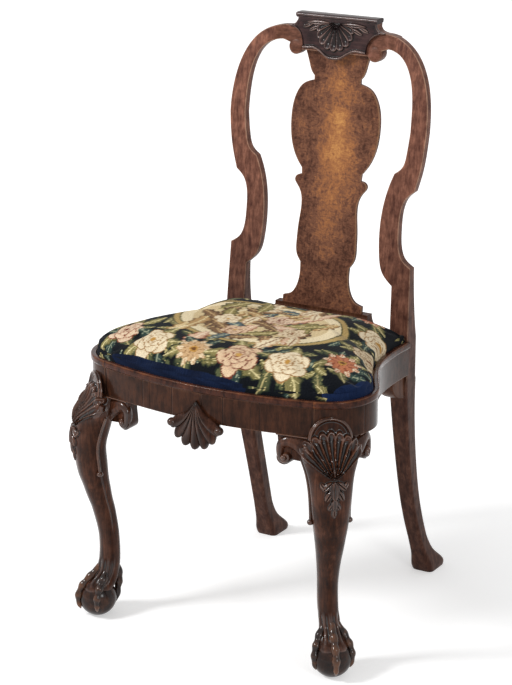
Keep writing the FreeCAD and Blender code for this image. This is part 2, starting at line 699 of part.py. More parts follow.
def ear_outline(tip, inward, root):
    """Outline of an ear from its free end to inside the leg; inward is the way from the end to the leg."""
    scroll = tip + inward * EAR_SCROLL_RADIUS
    centre = RAIL_BOTTOM - EAR_DROP + EAR_SCROLL_RADIUS

    def rim(degrees):
        angle = math.radians(degrees)
        return (scroll - inward * EAR_SCROLL_RADIUS * math.cos(angle),
                centre - EAR_SCROLL_RADIUS * math.sin(angle))

    hollow = [(tip + inward * EAR_HOLLOW * depth, RAIL_BOTTOM - EAR_DROP * share)
              for depth, share in ((0.6, 0.0), (1.0, 0.28), (0.3, 0.58))]
    return [[(root, RAIL_BOTTOM), hollow[0]], hollow + [rim(0), rim(45), rim(90), rim(130)],
            [rim(130), (root, rim(130)[1])], [(root, rim(130)[1]), (root, RAIL_BOTTOM)]]


def rail_shell():
    """Scallop shell on the front rail: a lobed edge round its hinge, straight flanks and a crowned face.
    The spare wood in front of the crown is carved away by it."""
    face_line = SEAT_FRONT + FACE_INSET
    hinge = RAIL_BOTTOM + SHELL_TOP
    wing_fall = SHELL_TOP + SHELL_WING_DROP
    wing_turn = math.atan2(SHELL_HALF, wing_fall)
    wing_reach = math.hypot(SHELL_HALF, wing_fall)
    full_reach = SHELL_TOP + SHELL_DROP
    points = []
    for index in range(2 * SHELL_LOBES + 1):
        share = index / SHELL_LOBES - 1
        reach = full_reach + (wing_reach - full_reach) * share ** 2
        reach *= 1.0 if index % 2 else SHELL_NOTCH
        points.append((reach * math.sin(wing_turn * share), hinge - reach * math.cos(wing_turn * share)))
    left, right = (-SHELL_HINGE, hinge), (SHELL_HINGE, hinge)
    edge = [points, [points[-1], right], [right, left], [left, points[0]]]
    plate = front_plate(edge, face_line - SHELL_RELIEF - SHELL_SPARE, face_line + RAIL_THICKNESS)
    back = seat_prism(FACE_INSET, POST_FRONT, RAIL_BOTTOM, SEAT_HEIGHT)
    behind = block((-FAR, FAR), (face_line + RAIL_THICKNESS * 0.4, FAR), (0, FAR))
    size = (SHELL_HALF ** 2 + SHELL_RELIEF ** 2) / (2 * SHELL_RELIEF) * 1.9
    crown_centre = Vector(0, face_line - SHELL_RELIEF + size, RAIL_BOTTOM - SHELL_DROP * 0.12)
    crown = Part.makeSphere(size, crown_centre)
    return largest(plate.common(crown).cut(back).cut(behind))


# Drop-in seat
def crowned(inset, bottom, lift):
    """Cushion form on the seat's plan: upright edge, rounded shoulder and a crown, flat underneath."""
    rear = SEAT_REAR - (inset - SEAT_INSET)
    edge = SEAT_HEIGHT + EDGE_RISE + lift
    rise = CROWN - EDGE_RISE
    rows = [(0.0, 1.0), (0.22, 0.994), (0.46, 0.957), (0.7, 0.85), (0.88, 0.66), (0.97, 0.4), (1.0, 0.12)]
    wires = [seat_wire(inset, rear, edge + rise * share, scale) for share, scale in rows]
    wall = Part.makeLoft([seat_wire(inset, rear, bottom), wires[0]], True, True)
    dome = Part.makeLoft(wires, True, False)
    return fused([wall, dome])


def slip_frame():
    """Four rails of the slip frame: front and rear run through, the sides fit between them."""
    rear_edge = SEAT_REAR - COVER - SLIP_GAP
    rear_line = rear_edge - SLIP_WIDTH
    front_line = SEAT_FRONT + SLIP_INSET + SLIP_WIDTH * 1.6
    frame = seat_prism(SLIP_INSET, rear_edge, SLIP_BOTTOM, SLIP_TOP)
    frame = frame.cut(seat_prism(SLIP_INSET + SLIP_WIDTH, rear_line, SLIP_BOTTOM, SLIP_TOP))
    front = frame.common(block((-FAR, FAR), (-FAR, front_line), (0, FAR)))
    rear = frame.common(block((-FAR, FAR), (rear_line, FAR), (0, FAR)))
    sides = frame.cut(front).cut(rear)
    right = largest(right_half(sides))
    return front, rear, right


def webbing():
    """Straps over the slip frame: lengthwise ones below, crosswise ones on them."""
    front = SEAT_FRONT + SLIP_INSET + SLIP_WIDTH * 0.3
    rear = SEAT_REAR - COVER - SLIP_GAP - SLIP_WIDTH * 0.3
    field = seat_prism(SLIP_INSET + SLIP_WIDTH * 0.3, rear, SLIP_TOP, SLIP_TOP + 2 * WEB_THICKNESS)
    low = (SLIP_TOP, SLIP_TOP + WEB_THICKNESS)
    high = (low[1], low[1] + WEB_THICKNESS)
    half = WEB_WIDTH / 2
    lengthwise = [block((x - half, x + half), (front - FAR, FAR), low).common(field)
                  for x in (-WEB_PITCH, 0.0, WEB_PITCH)]
    middle = (front + rear) / 2
    crosswise = [block((-FAR, FAR), (y - half, y + half), high).common(field)
                 for y in (middle - WEB_PITCH, middle, middle + WEB_PITCH)]
    return Part.makeCompound(lengthwise), Part.makeCompound(crosswise)


def tacks():
    """Tacks under the slip frame, through the cover that is turned under it."""
    inset = RAIL_INNER + TACK_DIAMETER / 2 + TACK_ROOM
    rear = SEAT_REAR - (inset - SEAT_INSET)
    wire = seat_wire(inset, rear, LEDGE + REST_GAP)
    count = int(wire.Length / TACK_PITCH)
    group = []
    for edge_point in wire.discretize(Number=count + 1)[:-1]:
        head = rod(edge_point - Vector(0, 0, TACK_HEAD), Vector(0, 0, 1), TACK_HEAD, TACK_DIAMETER)
        shank = rod(edge_point, Vector(0, 0, 1), TACK_LENGTH, TACK_SHANK)
        group.append(head.fuse(shank))
    return group


def screw(start, direction):
    """Wood screw with a flat head, driven from a point along a direction."""
    shank = rod(start, direction, SCREW_LENGTH, SCREW_DIAMETER)
    head = rod(start, direction, SCREW_HEAD_HEIGHT, SCREW_HEAD_DIAMETER)
    return shank.fuse(head)


# Rear posts and their mortises
parts = {}

post = front_plate(post_outline()).common(side_plate(post_profile()))
post = fused([post, rear_foot(), crest_tenon()])

rear_tenon_y = POST_FRONT + TENON_LENGTH + TENON_GAP
tenon_levels = (RAIL_BOTTOM + TENON_MARGIN, LEDGE - TENON_MARGIN)
rear_tenon = block((POST_INNER, POST_INNER + TENON_LENGTH),
                   (rear_tenon_y, rear_tenon_y + TENON_THICKNESS), tenon_levels)
side_tenon_x = SEAT_REAR_HALF - RAIL_INSET - RAIL_THICKNESS / 2
side_tenon = block((side_tenon_x - TENON_THICKNESS / 2, side_tenon_x + TENON_THICKNESS / 2),
                   (POST_FRONT, POST_FRONT + TENON_LENGTH), tenon_levels)
rear_peg = rod(Vector(POST_INNER + TENON_LENGTH / 2, POST_BACK, sum(tenon_levels) / 2), Vector(0, -1, 0),
               TENON_LENGTH, PEG_DIAMETER)
crest_box = crest_tenon().BoundBox
crest_peg = rod(Vector(CREST_HALF - TENON_LENGTH / 2, FAR, crest_box.Center.z), Vector(0, -1, 0),
                FAR - crest_box.Center.y + TENON_THICKNESS / 2, PEG_DIAMETER * 0.7)
parts["rear_post_right"] = post.cut(rear_tenon).cut(side_tenon).cut(rear_peg).cut(crest_peg)

# Crest rail with its carved tablet
crest_body = back_band(back_front, 0.0, CREST_THICKNESS, CREST_BOTTOM - CREST_CLEAR, CREST_TOP)
crest = crest_body.common(front_plate(whole(crest_outline())))
upper_tenon, lower_tenon = splat_tenons()
crest_peg = crest_peg.common(crest_body)
for piece in (crest_tenon(), mirrored(crest_tenon()), upper_tenon, crest_peg, mirrored(crest_peg)):
    crest = crest.cut(piece)
parts["crest_rail"] = crest
tablet = back_band(back_front, -TABLET_RELIEF, 0.0, CREST_BOTTOM - CREST_CLEAR, CREST_TOP)
tablet = tablet.common(front_plate(whole(tablet_outline())))
cornice_line = back_front(CREST_TOP)
cornice = block((-TABLET_HALF, TABLET_HALF), (cornice_line - TABLET_RELIEF - CORNICE_PROUD, cornice_line),
                (CREST_TOP - CORNICE_HEIGHT, CREST_TOP)).cut(crest_body)
parts["crest_tablet"] = fused([tablet, cornice])

# Splat, its veneer and its shoe
splat_face = front_plate(whole(splat_outline()))
splat = back_band(splat_front, 0.0, SPLAT_THICKNESS, SHOE_TOP, CREST_BOTTOM).common(splat_face).cut(crest)
parts["splat"] = fused([splat, upper_tenon, lower_tenon])
veneer = back_band(splat_front, -SPLAT_VENEER, 0.0, SHOE_TOP, CREST_BOTTOM).common(splat_face)
parts["splat_veneer"] = largest(veneer.cut(crest).cut(parts["crest_tablet"]))
parts["splat_shoe"] = splat_shoe().cut(lower_tenon)

# Seat rails: the front rail is half lapped to the side rails over the legs
half_way = (RAIL_BOTTOM + LEDGE) / 2
ring = seat_band(RAIL_INSET, RAIL_INNER, RAIL_BOTTOM, LEDGE)
lap = math.radians(LAP_ANGLE)
corner_ray = -math.radians(LEG_TURN)
front_share = front_zone(corner_ray + lap, RAIL_BOTTOM, half_way)
front_share = front_share.fuse(front_zone(corner_ray - lap, half_way, LEDGE))
front_rail = ring.common(front_share)
side_rail = largest(right_half(ring.cut(front_share)))
side_rail = fused([side_rail, side_tenon])
tenon = leg_tenon()
front_rail = front_rail.cut(tenon).cut(mirrored(tenon))
side_rail = side_rail.cut(tenon)
rear_rail = block((-POST_INNER, POST_INNER), (POST_FRONT, POST_BACK), (RAIL_BOTTOM, SEAT_HEIGHT))
ledge_half = min(SEAT_REAR_HALF - RAIL_INNER, POST_INNER)
ledge = block((-ledge_half, ledge_half), (POST_FRONT - LEDGE_WIDTH, POST_FRONT), (RAIL_BOTTOM, LEDGE))
rear_rail = fused([rear_rail, ledge, rear_tenon, mirrored(rear_tenon)])
parts["seat_rail_rear"] = rear_rail.cut(rear_peg).cut(mirrored(rear_peg))

# Lip and veneer of the rails
lip_wires = [seat_wire(inset, POST_FRONT, LEDGE + LIP_HEIGHT * rise) for inset, rise in LIP_MOULDING]
lip_ring = Part.makeLoft(lip_wires, True, False)
lip_ring = lip_ring.cut(seat_prism(LIP_WIDTH, POST_BACK, LEDGE, SEAT_HEIGHT))
lip_front_zone = front_zone(corner_ray, LEDGE, SEAT_HEIGHT)
parts["seat_lip_front"] = lip_ring.common(lip_front_zone)
parts["seat_lip_right"] = largest(right_half(lip_ring.cut(lip_front_zone)))
veneer_ring = seat_band(FACE_INSET, FACE_INSET + VENEER, RAIL_BOTTOM, LEDGE)
veneer_front = block((-VENEER_JOINT, VENEER_JOINT), (-FAR, CORNER_LINE), (0, FAR))
parts["rail_veneer_front"] = veneer_ring.common(veneer_front)
parts["rail_veneer_right"] = largest(right_half(veneer_ring.cut(veneer_front)))

# Front legs with their ears, the carved shell and the rear brackets
leg = front_leg()
parts["front_leg_right"] = leg
leg_spine = leg_spot(CORNER_RADIUS, 0, 0)
front_ear = front_plate(ear_outline(CORNER_X - EAR_FRONT_REACH, 1, leg_spine.x))
side_ear = side_plate(ear_outline(CORNER_LINE + EAR_SIDE_REACH, -1, leg_spine.y))
parts["knee_ear_front_right"] = ear(front_ear, leg, True)
parts["knee_ear_side_right"] = ear(side_ear, leg, False)
parts["front_rail_shell"] = rail_shell()
bracket_x = (side_tenon_x - BRACKET_THICKNESS / 2, side_tenon_x + BRACKET_THICKNESS / 2)
bracket_hollow = [(POST_FRONT - BRACKET_LENGTH * reach, RAIL_BOTTOM - BRACKET_LENGTH * drop)
                  for reach, drop in ((1.0, 0.0), (0.42, 0.42), (0.0, 1.0))]
post_middle = POST_FRONT + POST_DEPTH / 2
bracket_back = polygon([bracket_hollow[-1], (post_middle, bracket_hollow[-1][1]),
                        (post_middle, RAIL_BOTTOM), bracket_hollow[0]])[:-1]
bracket = side_plate([bracket_hollow] + bracket_back, *bracket_x)
parts["rear_bracket_right"] = largest(bracket.cut(post))

# Corner blocks with their screws
front_block = Part.makeCylinder(CORNER_RADIUS - RAIL_INNER, BLOCK_HEIGHT,
                                Vector(CORNER_X, CORNER_LINE, RAIL_BOTTOM), Vector(0, 0, 1))
front_block = front_block.common(block((CORNER_X, FAR), (-FAR, CORNER_LINE), (0, FAR)))
rear_corner = (ledge_half + RAIL_THICKNESS / 2, POST_FRONT - LEDGE_WIDTH)
rear_triangle = [rear_corner, (rear_corner[0], rear_corner[1] - BLOCK_LEG),
                 (ledge_half - BLOCK_LEG, rear_corner[1])]
rear_block = largest(plan_plate(polygon(rear_triangle), RAIL_BOTTOM, RAIL_BOTTOM + BLOCK_HEIGHT).cut(ring))
screws = []
for degrees in (-72, -18):
    way = Vector(math.cos(math.radians(degrees)), math.sin(math.radians(degrees)), 0)
    start = Vector(CORNER_X, CORNER_LINE, RAIL_BOTTOM + BLOCK_HEIGHT / 2) + way * SCREW_HEAD_DIAMETER
    screws.append(screw(start, way))
for way, place in ((Vector(1, 0, 0), (0.45, 0.2)), (Vector(0, 1, 0), (0.2, 0.5))):
    inside = Vector(ledge_half - BLOCK_LEG * place[1], rear_corner[1] - BLOCK_LEG * place[0],
                    RAIL_BOTTOM + BLOCK_HEIGHT / 2)
    screws.append(screw(inside, way))
parts["corner_block_front_right"] = front_block
parts["corner_block_rear_right"] = rear_block
parts["seat_rail_front"] = front_rail
parts["seat_rail_right"] = side_rail

# Drop-in seat
slip_front, slip_rear, slip_right = slip_frame()
parts["slip_rail_front"] = slip_front
parts["slip_rail_rear"] = slip_rear
parts["slip_rail_right"] = slip_right
parts["webbing_lengthwise"], parts["webbing_crosswise"] = webbing()
cloth_bottom = SLIP_TOP + 2 * WEB_THICKNESS
stuffing_bottom = cloth_bottom + CLOTH
cloth_rear = SEAT_REAR - COVER - SLIP_GAP - CLOTH
parts["base_cloth"] = seat_prism(SLIP_INSET + CLOTH, cloth_rear, cloth_bottom, stuffing_bottom)
cover_outside = crowned(SEAT_INSET, LEDGE + REST_GAP, 0.0)
cover_inside = crowned(SEAT_INSET + COVER, SLIP_BOTTOM, -COVER)
stuffing = crowned(SLIP_INSET, SLIP_BOTTOM, -COVER - SLIP_GAP)
parts["seat_stuffing"] = stuffing.common(block((-FAR, FAR), (-FAR, FAR), (stuffing_bottom, FAR)))
cover_mouth = seat_prism(SEAT_INSET + TURN_UNDER, SEAT_REAR - TURN_UNDER, LEDGE, SLIP_BOTTOM)
parts["seat_cover"] = cover_outside.cut(cover_inside).cut(cover_mouth)

# Pieces that come in pairs, and the groups of fasteners
for name in [name for name in parts if name.endswith("_right")]:
    parts[name.replace("_right", "_left")] = mirrored(parts[name])
parts["corner_block_screws"] = Part.makeCompound(screws + [mirrored(item) for item in screws])
parts["rail_pegs"] = Part.makeCompound([rear_peg, mirrored(rear_peg), crest_peg, mirrored(crest_peg)])
parts["cover_tacks"] = Part.makeCompound(tacks())
bored = {"corner_block_screws": ("corner_block", "seat_rail", "rail_veneer"),
         "cover_tacks": ("seat_cover", "slip_rail")}
for fastener, holders in bored.items():
    for name in parts:
        if name != fastener and name.startswith(holders):
            parts[name] = parts[name].cut(parts[fastener])

os.makedirs("parts", exist_ok=True)
for name, shape in sorted(parts.items()):
    valid = all(solid.isValid() for solid in shape.Solids)
    print(f"{name}: {len(shape.Solids)} solids, {shape.Volume / 1000:.1f} cm3, valid {valid}")
    shape.exportStep(f"parts/{name}.step")
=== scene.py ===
# %% [markdown]
# # A hoop-backed walnut side chair
# The joinery of the chair is already fixed: posts, rails, legs and the drop-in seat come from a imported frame.
# This lesson dresses that frame. Each piece that the eye rests on is worked out again as a smooth surface,
# with carving, rounded edges and wear, and every wood, cloth and metal gets its own finish.

# %% Load the fixed frame
import bmesh
import bpy
import math
import numpy as np
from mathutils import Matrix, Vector


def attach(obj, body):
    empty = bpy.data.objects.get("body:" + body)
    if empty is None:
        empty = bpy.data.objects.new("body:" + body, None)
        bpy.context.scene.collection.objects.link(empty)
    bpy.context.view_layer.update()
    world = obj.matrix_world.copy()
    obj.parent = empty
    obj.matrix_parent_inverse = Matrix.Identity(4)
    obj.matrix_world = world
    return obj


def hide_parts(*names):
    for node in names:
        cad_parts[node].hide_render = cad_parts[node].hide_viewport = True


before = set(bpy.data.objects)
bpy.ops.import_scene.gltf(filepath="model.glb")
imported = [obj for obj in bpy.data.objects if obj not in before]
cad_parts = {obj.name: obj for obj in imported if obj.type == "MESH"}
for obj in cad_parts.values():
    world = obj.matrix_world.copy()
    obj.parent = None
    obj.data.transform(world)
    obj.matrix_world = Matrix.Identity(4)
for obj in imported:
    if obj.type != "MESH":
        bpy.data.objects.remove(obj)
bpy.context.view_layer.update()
MM = 0.001

# %% [markdown]
# ## The view
# The chair was photographed from a little above, turned about thirty degrees, with a long lens.
# The eye, the point looked at and the lens were solved from pairs of mirrored points on the chair,
# so a camera with those values sees the chair at the same angle and size.

# %% Camera
EYE = Vector((1.8307, -3.0980, 1.6246))
LOOKED_AT = Vector((0.0, -0.056, 0.4902))
LENS_MM = 116.5
VIEW_SHIFT = (-0.0095, -0.0031)


def add_object(name, data):
    """New object at the origin, linked into the scene."""
    made = bpy.data.objects.new(name, data)
    bpy.context.scene.collection.objects.link(made)
    return made


camera = add_object("camera", bpy.data.cameras.new("camera"))
camera.location = EYE
camera.rotation_euler = (LOOKED_AT - EYE).to_track_quat("-Z", "Y").to_euler()
camera.data.lens = LENS_MM
camera.data.shift_x, camera.data.shift_y = VIEW_SHIFT
bpy.context.scene.camera = camera
print("camera", round((LOOKED_AT - EYE).length, 3), "m from the chair")

# %% [markdown]
# ## Finishes are small node trees
# A finish mixes a few noise patterns into colour, roughness and bump. To keep the trees short to read,
# one function adds a node, sets it and links it. Colours are written the way a paint chart gives them,
# and one function turns them into the linear values that a renderer works with.

# %% Helpers for finishes
def linear(code):
    """Linear colour of an sRGB hex code: each channel c becomes ((c + 0.055) / 1.055) to the power 2.4."""
    parts = np.array([int(code[i:i + 2], 16) for i in (1, 3, 5)]) / 255
    return np.where(parts <= 0.04045, parts / 12.92, ((parts + 0.055) / 1.055) ** 2.4)


def colour(code):
    """The same with an opaque alpha, for a colour socket."""
    return (*linear(code), 1.0)


def node(tree, kind, links=None, **settings):
    """Adds a node to a tree; links maps its sockets to other sockets or to plain values."""
    made = tree.nodes.new(kind)
    for key, value in settings.items():
        setattr(made, key, value)
    for socket, source in (links or {}).items():
        if isinstance(source, bpy.types.NodeSocket):
            tree.links.new(source, made.inputs[socket])
        else:
            made.inputs[socket].default_value = source
    return made


def new_finish(name):
    """Empty material, with its tree and its shader."""
    made = bpy.data.materials.new(name)
    made.use_nodes = True
    return made, made.node_tree, made.node_tree.nodes["Principled BSDF"]


def per_metre(*sizes_mm):
    """Scale of a pattern whose repeats are the given sizes in millimetres."""
    return tuple(1 / (size * MM) for size in sizes_mm)


def tones(tree, factor, stops):
    """Colour ramp through (place, hex code) stops."""
    ramp = node(tree, "ShaderNodeValToRGB", {"Fac": factor})
    while len(ramp.color_ramp.elements) < len(stops):
        ramp.color_ramp.elements.new(0.5)
    for element, (place, code) in zip(ramp.color_ramp.elements, stops):
        element.position = place
        element.color = colour(code)
    return ramp.outputs["Color"]


print("grey #808080 in linear light:", round(float(linear("#808080")[0]), 3))

# %% [markdown]
# ## Old waxed walnut
# Walnut is a brown wood with darker streaks, short dark pores and a cloudy figure. Two centuries of wax and
# hands leave a soft gloss and pale worn edges; the hollows are painted dark, partly as dirt and partly as
# painted shade. The streaks are noise stretched along the grain. Wear and the dark hollows read a number kept
# on each point of a mesh, called edge: above zero where the point stands out of its surroundings, below zero
# where it lies in a hollow. Below the seat the colour is scaled darker by height, as painted shade.

# %% Walnut finishes
def waxed_wood(name, stops, grain_mm, cloud_mm, worn, gloss=0.36, shine=0.1, coat=0.0, polish=0.0, haze=0.0,
               wear=0.75, figure=0.5, pore=0.4, below=1.0, coat_ior=1.5):
    """Polished wood: stretched noise for the grain, round noise for the figure, worn edges, and hollows
    darkened as dirt and painted shade. polish adds wax on carving, haze pales the wood seen along its face,
    below darkens it under the seat as painted shade.
    A coat of low coat_ior mirrors only what is seen along the face."""
    made, tree, shader = new_finish(name)
    place = node(tree, "ShaderNodeTexCoord").outputs["Object"]
    drift = node(tree, "ShaderNodeTexNoise", {"Vector": place, "Scale": per_metre(160)[0], "Detail": 2.0})
    wander = node(tree, "ShaderNodeVectorMath", {0: drift.outputs["Color"], 1: (0.016, 0.016, 0.016)},
                  operation="MULTIPLY")
    bent = node(tree, "ShaderNodeVectorMath", {0: place, 1: wander.outputs[0]}, operation="ADD").outputs[0]
    along = node(tree, "ShaderNodeMapping", {"Vector": bent, "Scale": per_metre(*grain_mm)}).outputs[0]
    grain = node(tree, "ShaderNodeTexNoise",
                 {"Vector": along, "Scale": 1.0, "Detail": 5.0, "Roughness": 0.62})
    cloud = node(tree, "ShaderNodeTexNoise",
                 {"Vector": bent, "Scale": per_metre(cloud_mm)[0], "Detail": 5.0, "Roughness": 0.6})
    pores_at = node(tree, "ShaderNodeVectorMath", {0: along, 1: (3.1, 3.1, 3.1)}, operation="MULTIPLY")
    pores = node(tree, "ShaderNodeTexNoise", {"Vector": pores_at.outputs[0], "Scale": 1.0, "Detail": 1.0})
    pore_mask = node(tree, "ShaderNodeMapRange",
                     {"Value": pores.outputs["Fac"], "From Min": 0.56, "From Max": 0.7})
    mixed = node(tree, "ShaderNodeMix",
                 {"Factor": figure, "A": grain.outputs["Fac"], "B": cloud.outputs["Fac"]})
    spread = node(tree, "ShaderNodeMapRange", {"Value": mixed.outputs[0], "From Min": 0.36, "From Max": 0.64})
    wood = tones(tree, spread.outputs[0], stops)
    darker = node(tree, "ShaderNodeMath", {0: pore_mask.outputs[0], 1: pore}, operation="MULTIPLY")
    pored = node(tree, "ShaderNodeMix", {"Factor": darker.outputs[0], "A": wood, "B": colour(stops[0][1])},
                 data_type="RGBA")
    edge = node(tree, "ShaderNodeAttribute", attribute_name="edge").outputs["Fac"]
    rubbed = node(tree, "ShaderNodeMath", {0: edge, 1: cloud.outputs["Fac"]}, operation="MULTIPLY")
    worn_mask = node(tree, "ShaderNodeMapRange",
                     {"Value": rubbed.outputs[0], "From Min": 0.15, "From Max": 0.45, "To Max": wear})
    # Painted shade and dirt: where edge is below zero, in hollows, the colour is mixed towards near black.
    hollow = node(tree, "ShaderNodeMapRange",
                  {"Value": edge, "From Min": -0.04, "From Max": -0.4, "To Max": 0.9})
    dirt_and_shade = node(tree, "ShaderNodeMix", {"Factor": hollow.outputs[0], "A": pored.outputs[2],
                                         "B": colour("#0d0706")}, data_type="RGBA")
    final = node(tree, "ShaderNodeMix", {"Factor": worn_mask.outputs[0], "A": dirt_and_shade.outputs[2],
                                         "B": colour(worn)}, data_type="RGBA")
    # Painted shade: from 750 mm down to 400 mm the colour is scaled down to the factor below, darkest under the
    # seat.
    level = node(tree, "ShaderNodeSeparateXYZ", {"Vector": place}).outputs["Z"]
    light = node(tree, "ShaderNodeMapRange",
                 {"Value": level, "From Min": 0.4, "From Max": 0.75, "To Min": below})
    shaded_under_seat = node(tree, "ShaderNodeVectorMath",
                {0: final.outputs[2], "Scale": light.outputs[0]}, operation="SCALE")
    dull = node(tree, "ShaderNodeMapRange",
                {"Value": spread.outputs[0], "To Min": gloss + 0.1, "To Max": gloss - 0.06})
    height = node(tree, "ShaderNodeMix", {"Factor": 0.6, "A": spread.outputs[0], "B": pores.outputs["Fac"]})
    bump = node(tree, "ShaderNodeBump", {"Height": height.outputs[0], "Strength": 0.2, "Distance": 0.5 * MM})
    for socket, source in (("Base Color", shaded_under_seat.outputs[0]), ("Roughness", dull.outputs[0]),
                           ("Normal", bump.outputs[0])):
        tree.links.new(source, shader.inputs[socket])
    shader.inputs["Specular IOR Level"].default_value = shine
    shader.inputs["Sheen Weight"].default_value = haze
    shader.inputs["Sheen Roughness"].default_value = 0.3
    carved = node(tree, "ShaderNodeMath", {0: edge}, operation="ABSOLUTE")
    wax = node(tree, "ShaderNodeMapRange", {"Value": carved.outputs[0], "From Min": 0.04, "From Max": 0.3,
                                            "To Min": coat, "To Max": coat + polish})
    tree.links.new(wax.outputs[0], shader.inputs["Coat Weight"])
    shader.inputs["Coat Roughness"].default_value = 0.12
    shader.inputs["Coat IOR"].default_value = coat_ior
    return made


# Grain sizes in millimetres along x, y and z: streaks that run up, and streaks that run across.
UPRIGHT = (5.0, 5.0, 70.0)
LEVEL = (70.0, 5.0, 5.0)
# Sawn and waxed planks: mottled red brown, with painted shade that darkens them below the seat.
POST_WALNUT = waxed_wood("waxed_walnut_posts", [(0.0, "#472820"), (0.5, "#6f483a"), (1.0, "#946451")],
                         (6.0, 6.0, 36.0), 16.0, "#b48f78", figure=0.42, below=0.42)
# The crest's plank lies level, so its streaks run across.
CREST_WALNUT = waxed_wood("waxed_walnut_crest", [(0.0, "#3f241b"), (0.5, "#664132"), (1.0, "#85594a")],
                          (30.0, 7.0, 7.0), 14.0, "#a98670")
# Straight-grained darker wood of the shoe, the rear rail and the brackets.
LEG_WALNUT = waxed_wood("waxed_walnut_legs", [(0.0, "#30190f"), (0.5, "#4b2d1f"), (1.0, "#62402c")],
                        UPRIGHT, 40.0, "#7d5540", shine=0.08)
# Carved and rubbed: wax gleams on the ridges, and the hollows are darkened as dirt and painted shade.
CARVED_WALNUT = waxed_wood("carved_dark_walnut", [(0.0, "#1e0f0a"), (0.5, "#3d2216"), (1.0, "#5b3727")],
                           UPRIGHT, 30.0, "#7c5540", gloss=0.22, shine=0.09, polish=0.75, wear=0.35)
# The rail's shell is blacker, as carving that is seldom dusted.
SHELL_WALNUT = waxed_wood("carved_shell_walnut", [(0.0, "#170c08"), (0.5, "#2e1a12"), (1.0, "#482b1f")],
                          UPRIGHT, 30.0, "#6d4a37", gloss=0.2, shine=0.09, polish=0.45, wear=0.35)
# Feet knocked by shoes: almost black, with bare brown wood on the front toe.
CLAW_WALNUT = waxed_wood("rubbed_claw_walnut", [(0.0, "#100908"), (0.5, "#261610"), (1.0, "#45291b")],
                         (12.0, 12.0, 18.0), 15.0, "#8c5a38", gloss=0.18, shine=0.1, polish=0.5, wear=0.6)
# The tablet was stained black, and is grey where the wax has dried.
TABLET_WALNUT = waxed_wood("carved_black_walnut", [(0.0, "#1c1112"), (0.5, "#372626"), (1.0, "#503b38")],
                           LEVEL, 22.0, "#8f756b", gloss=0.26, shine=0.12, polish=0.3, wear=0.6)
# Cross-grain veneer: short upright streaks, glossy where it is seen along its face.
RAIL_WALNUT = waxed_wood("cross_grain_walnut_veneer", [(0.0, "#1f110a"), (0.5, "#361e13"), (1.0, "#4a2b1c")],
                         (7.0, 7.0, 34.0), 30.0, "#6c4a37", gloss=0.3, shine=0.04, haze=0.2, coat=1.0,
                         coat_ior=1.13)
# The lip's cross grain is finer and redder, and hands have polished it.
LIP_WALNUT = waxed_wood("cross_grain_walnut_lip", [(0.0, "#200f0a"), (0.5, "#42241a"), (1.0, "#5a3324")],
                        (6.0, 6.0, 10.0), 18.0, "#83502f", gloss=0.26, shine=0.05, coat=1.0, wear=0.6,
                        coat_ior=1.14)
print("walnut finishes: 9")

# %% [markdown]
# ## Burr walnut for the splat
# The face of the splat is a burr veneer: tiny knots, swirls and a pale golden heart where the leaf was cut
# near the sapwood, with dark mottled flanks. Two sizes of Voronoi cells, bent by noise, give the knots; fine
# crossing noise breaks them into flecks, and the gold depends on how far a point is from the vase's heart.

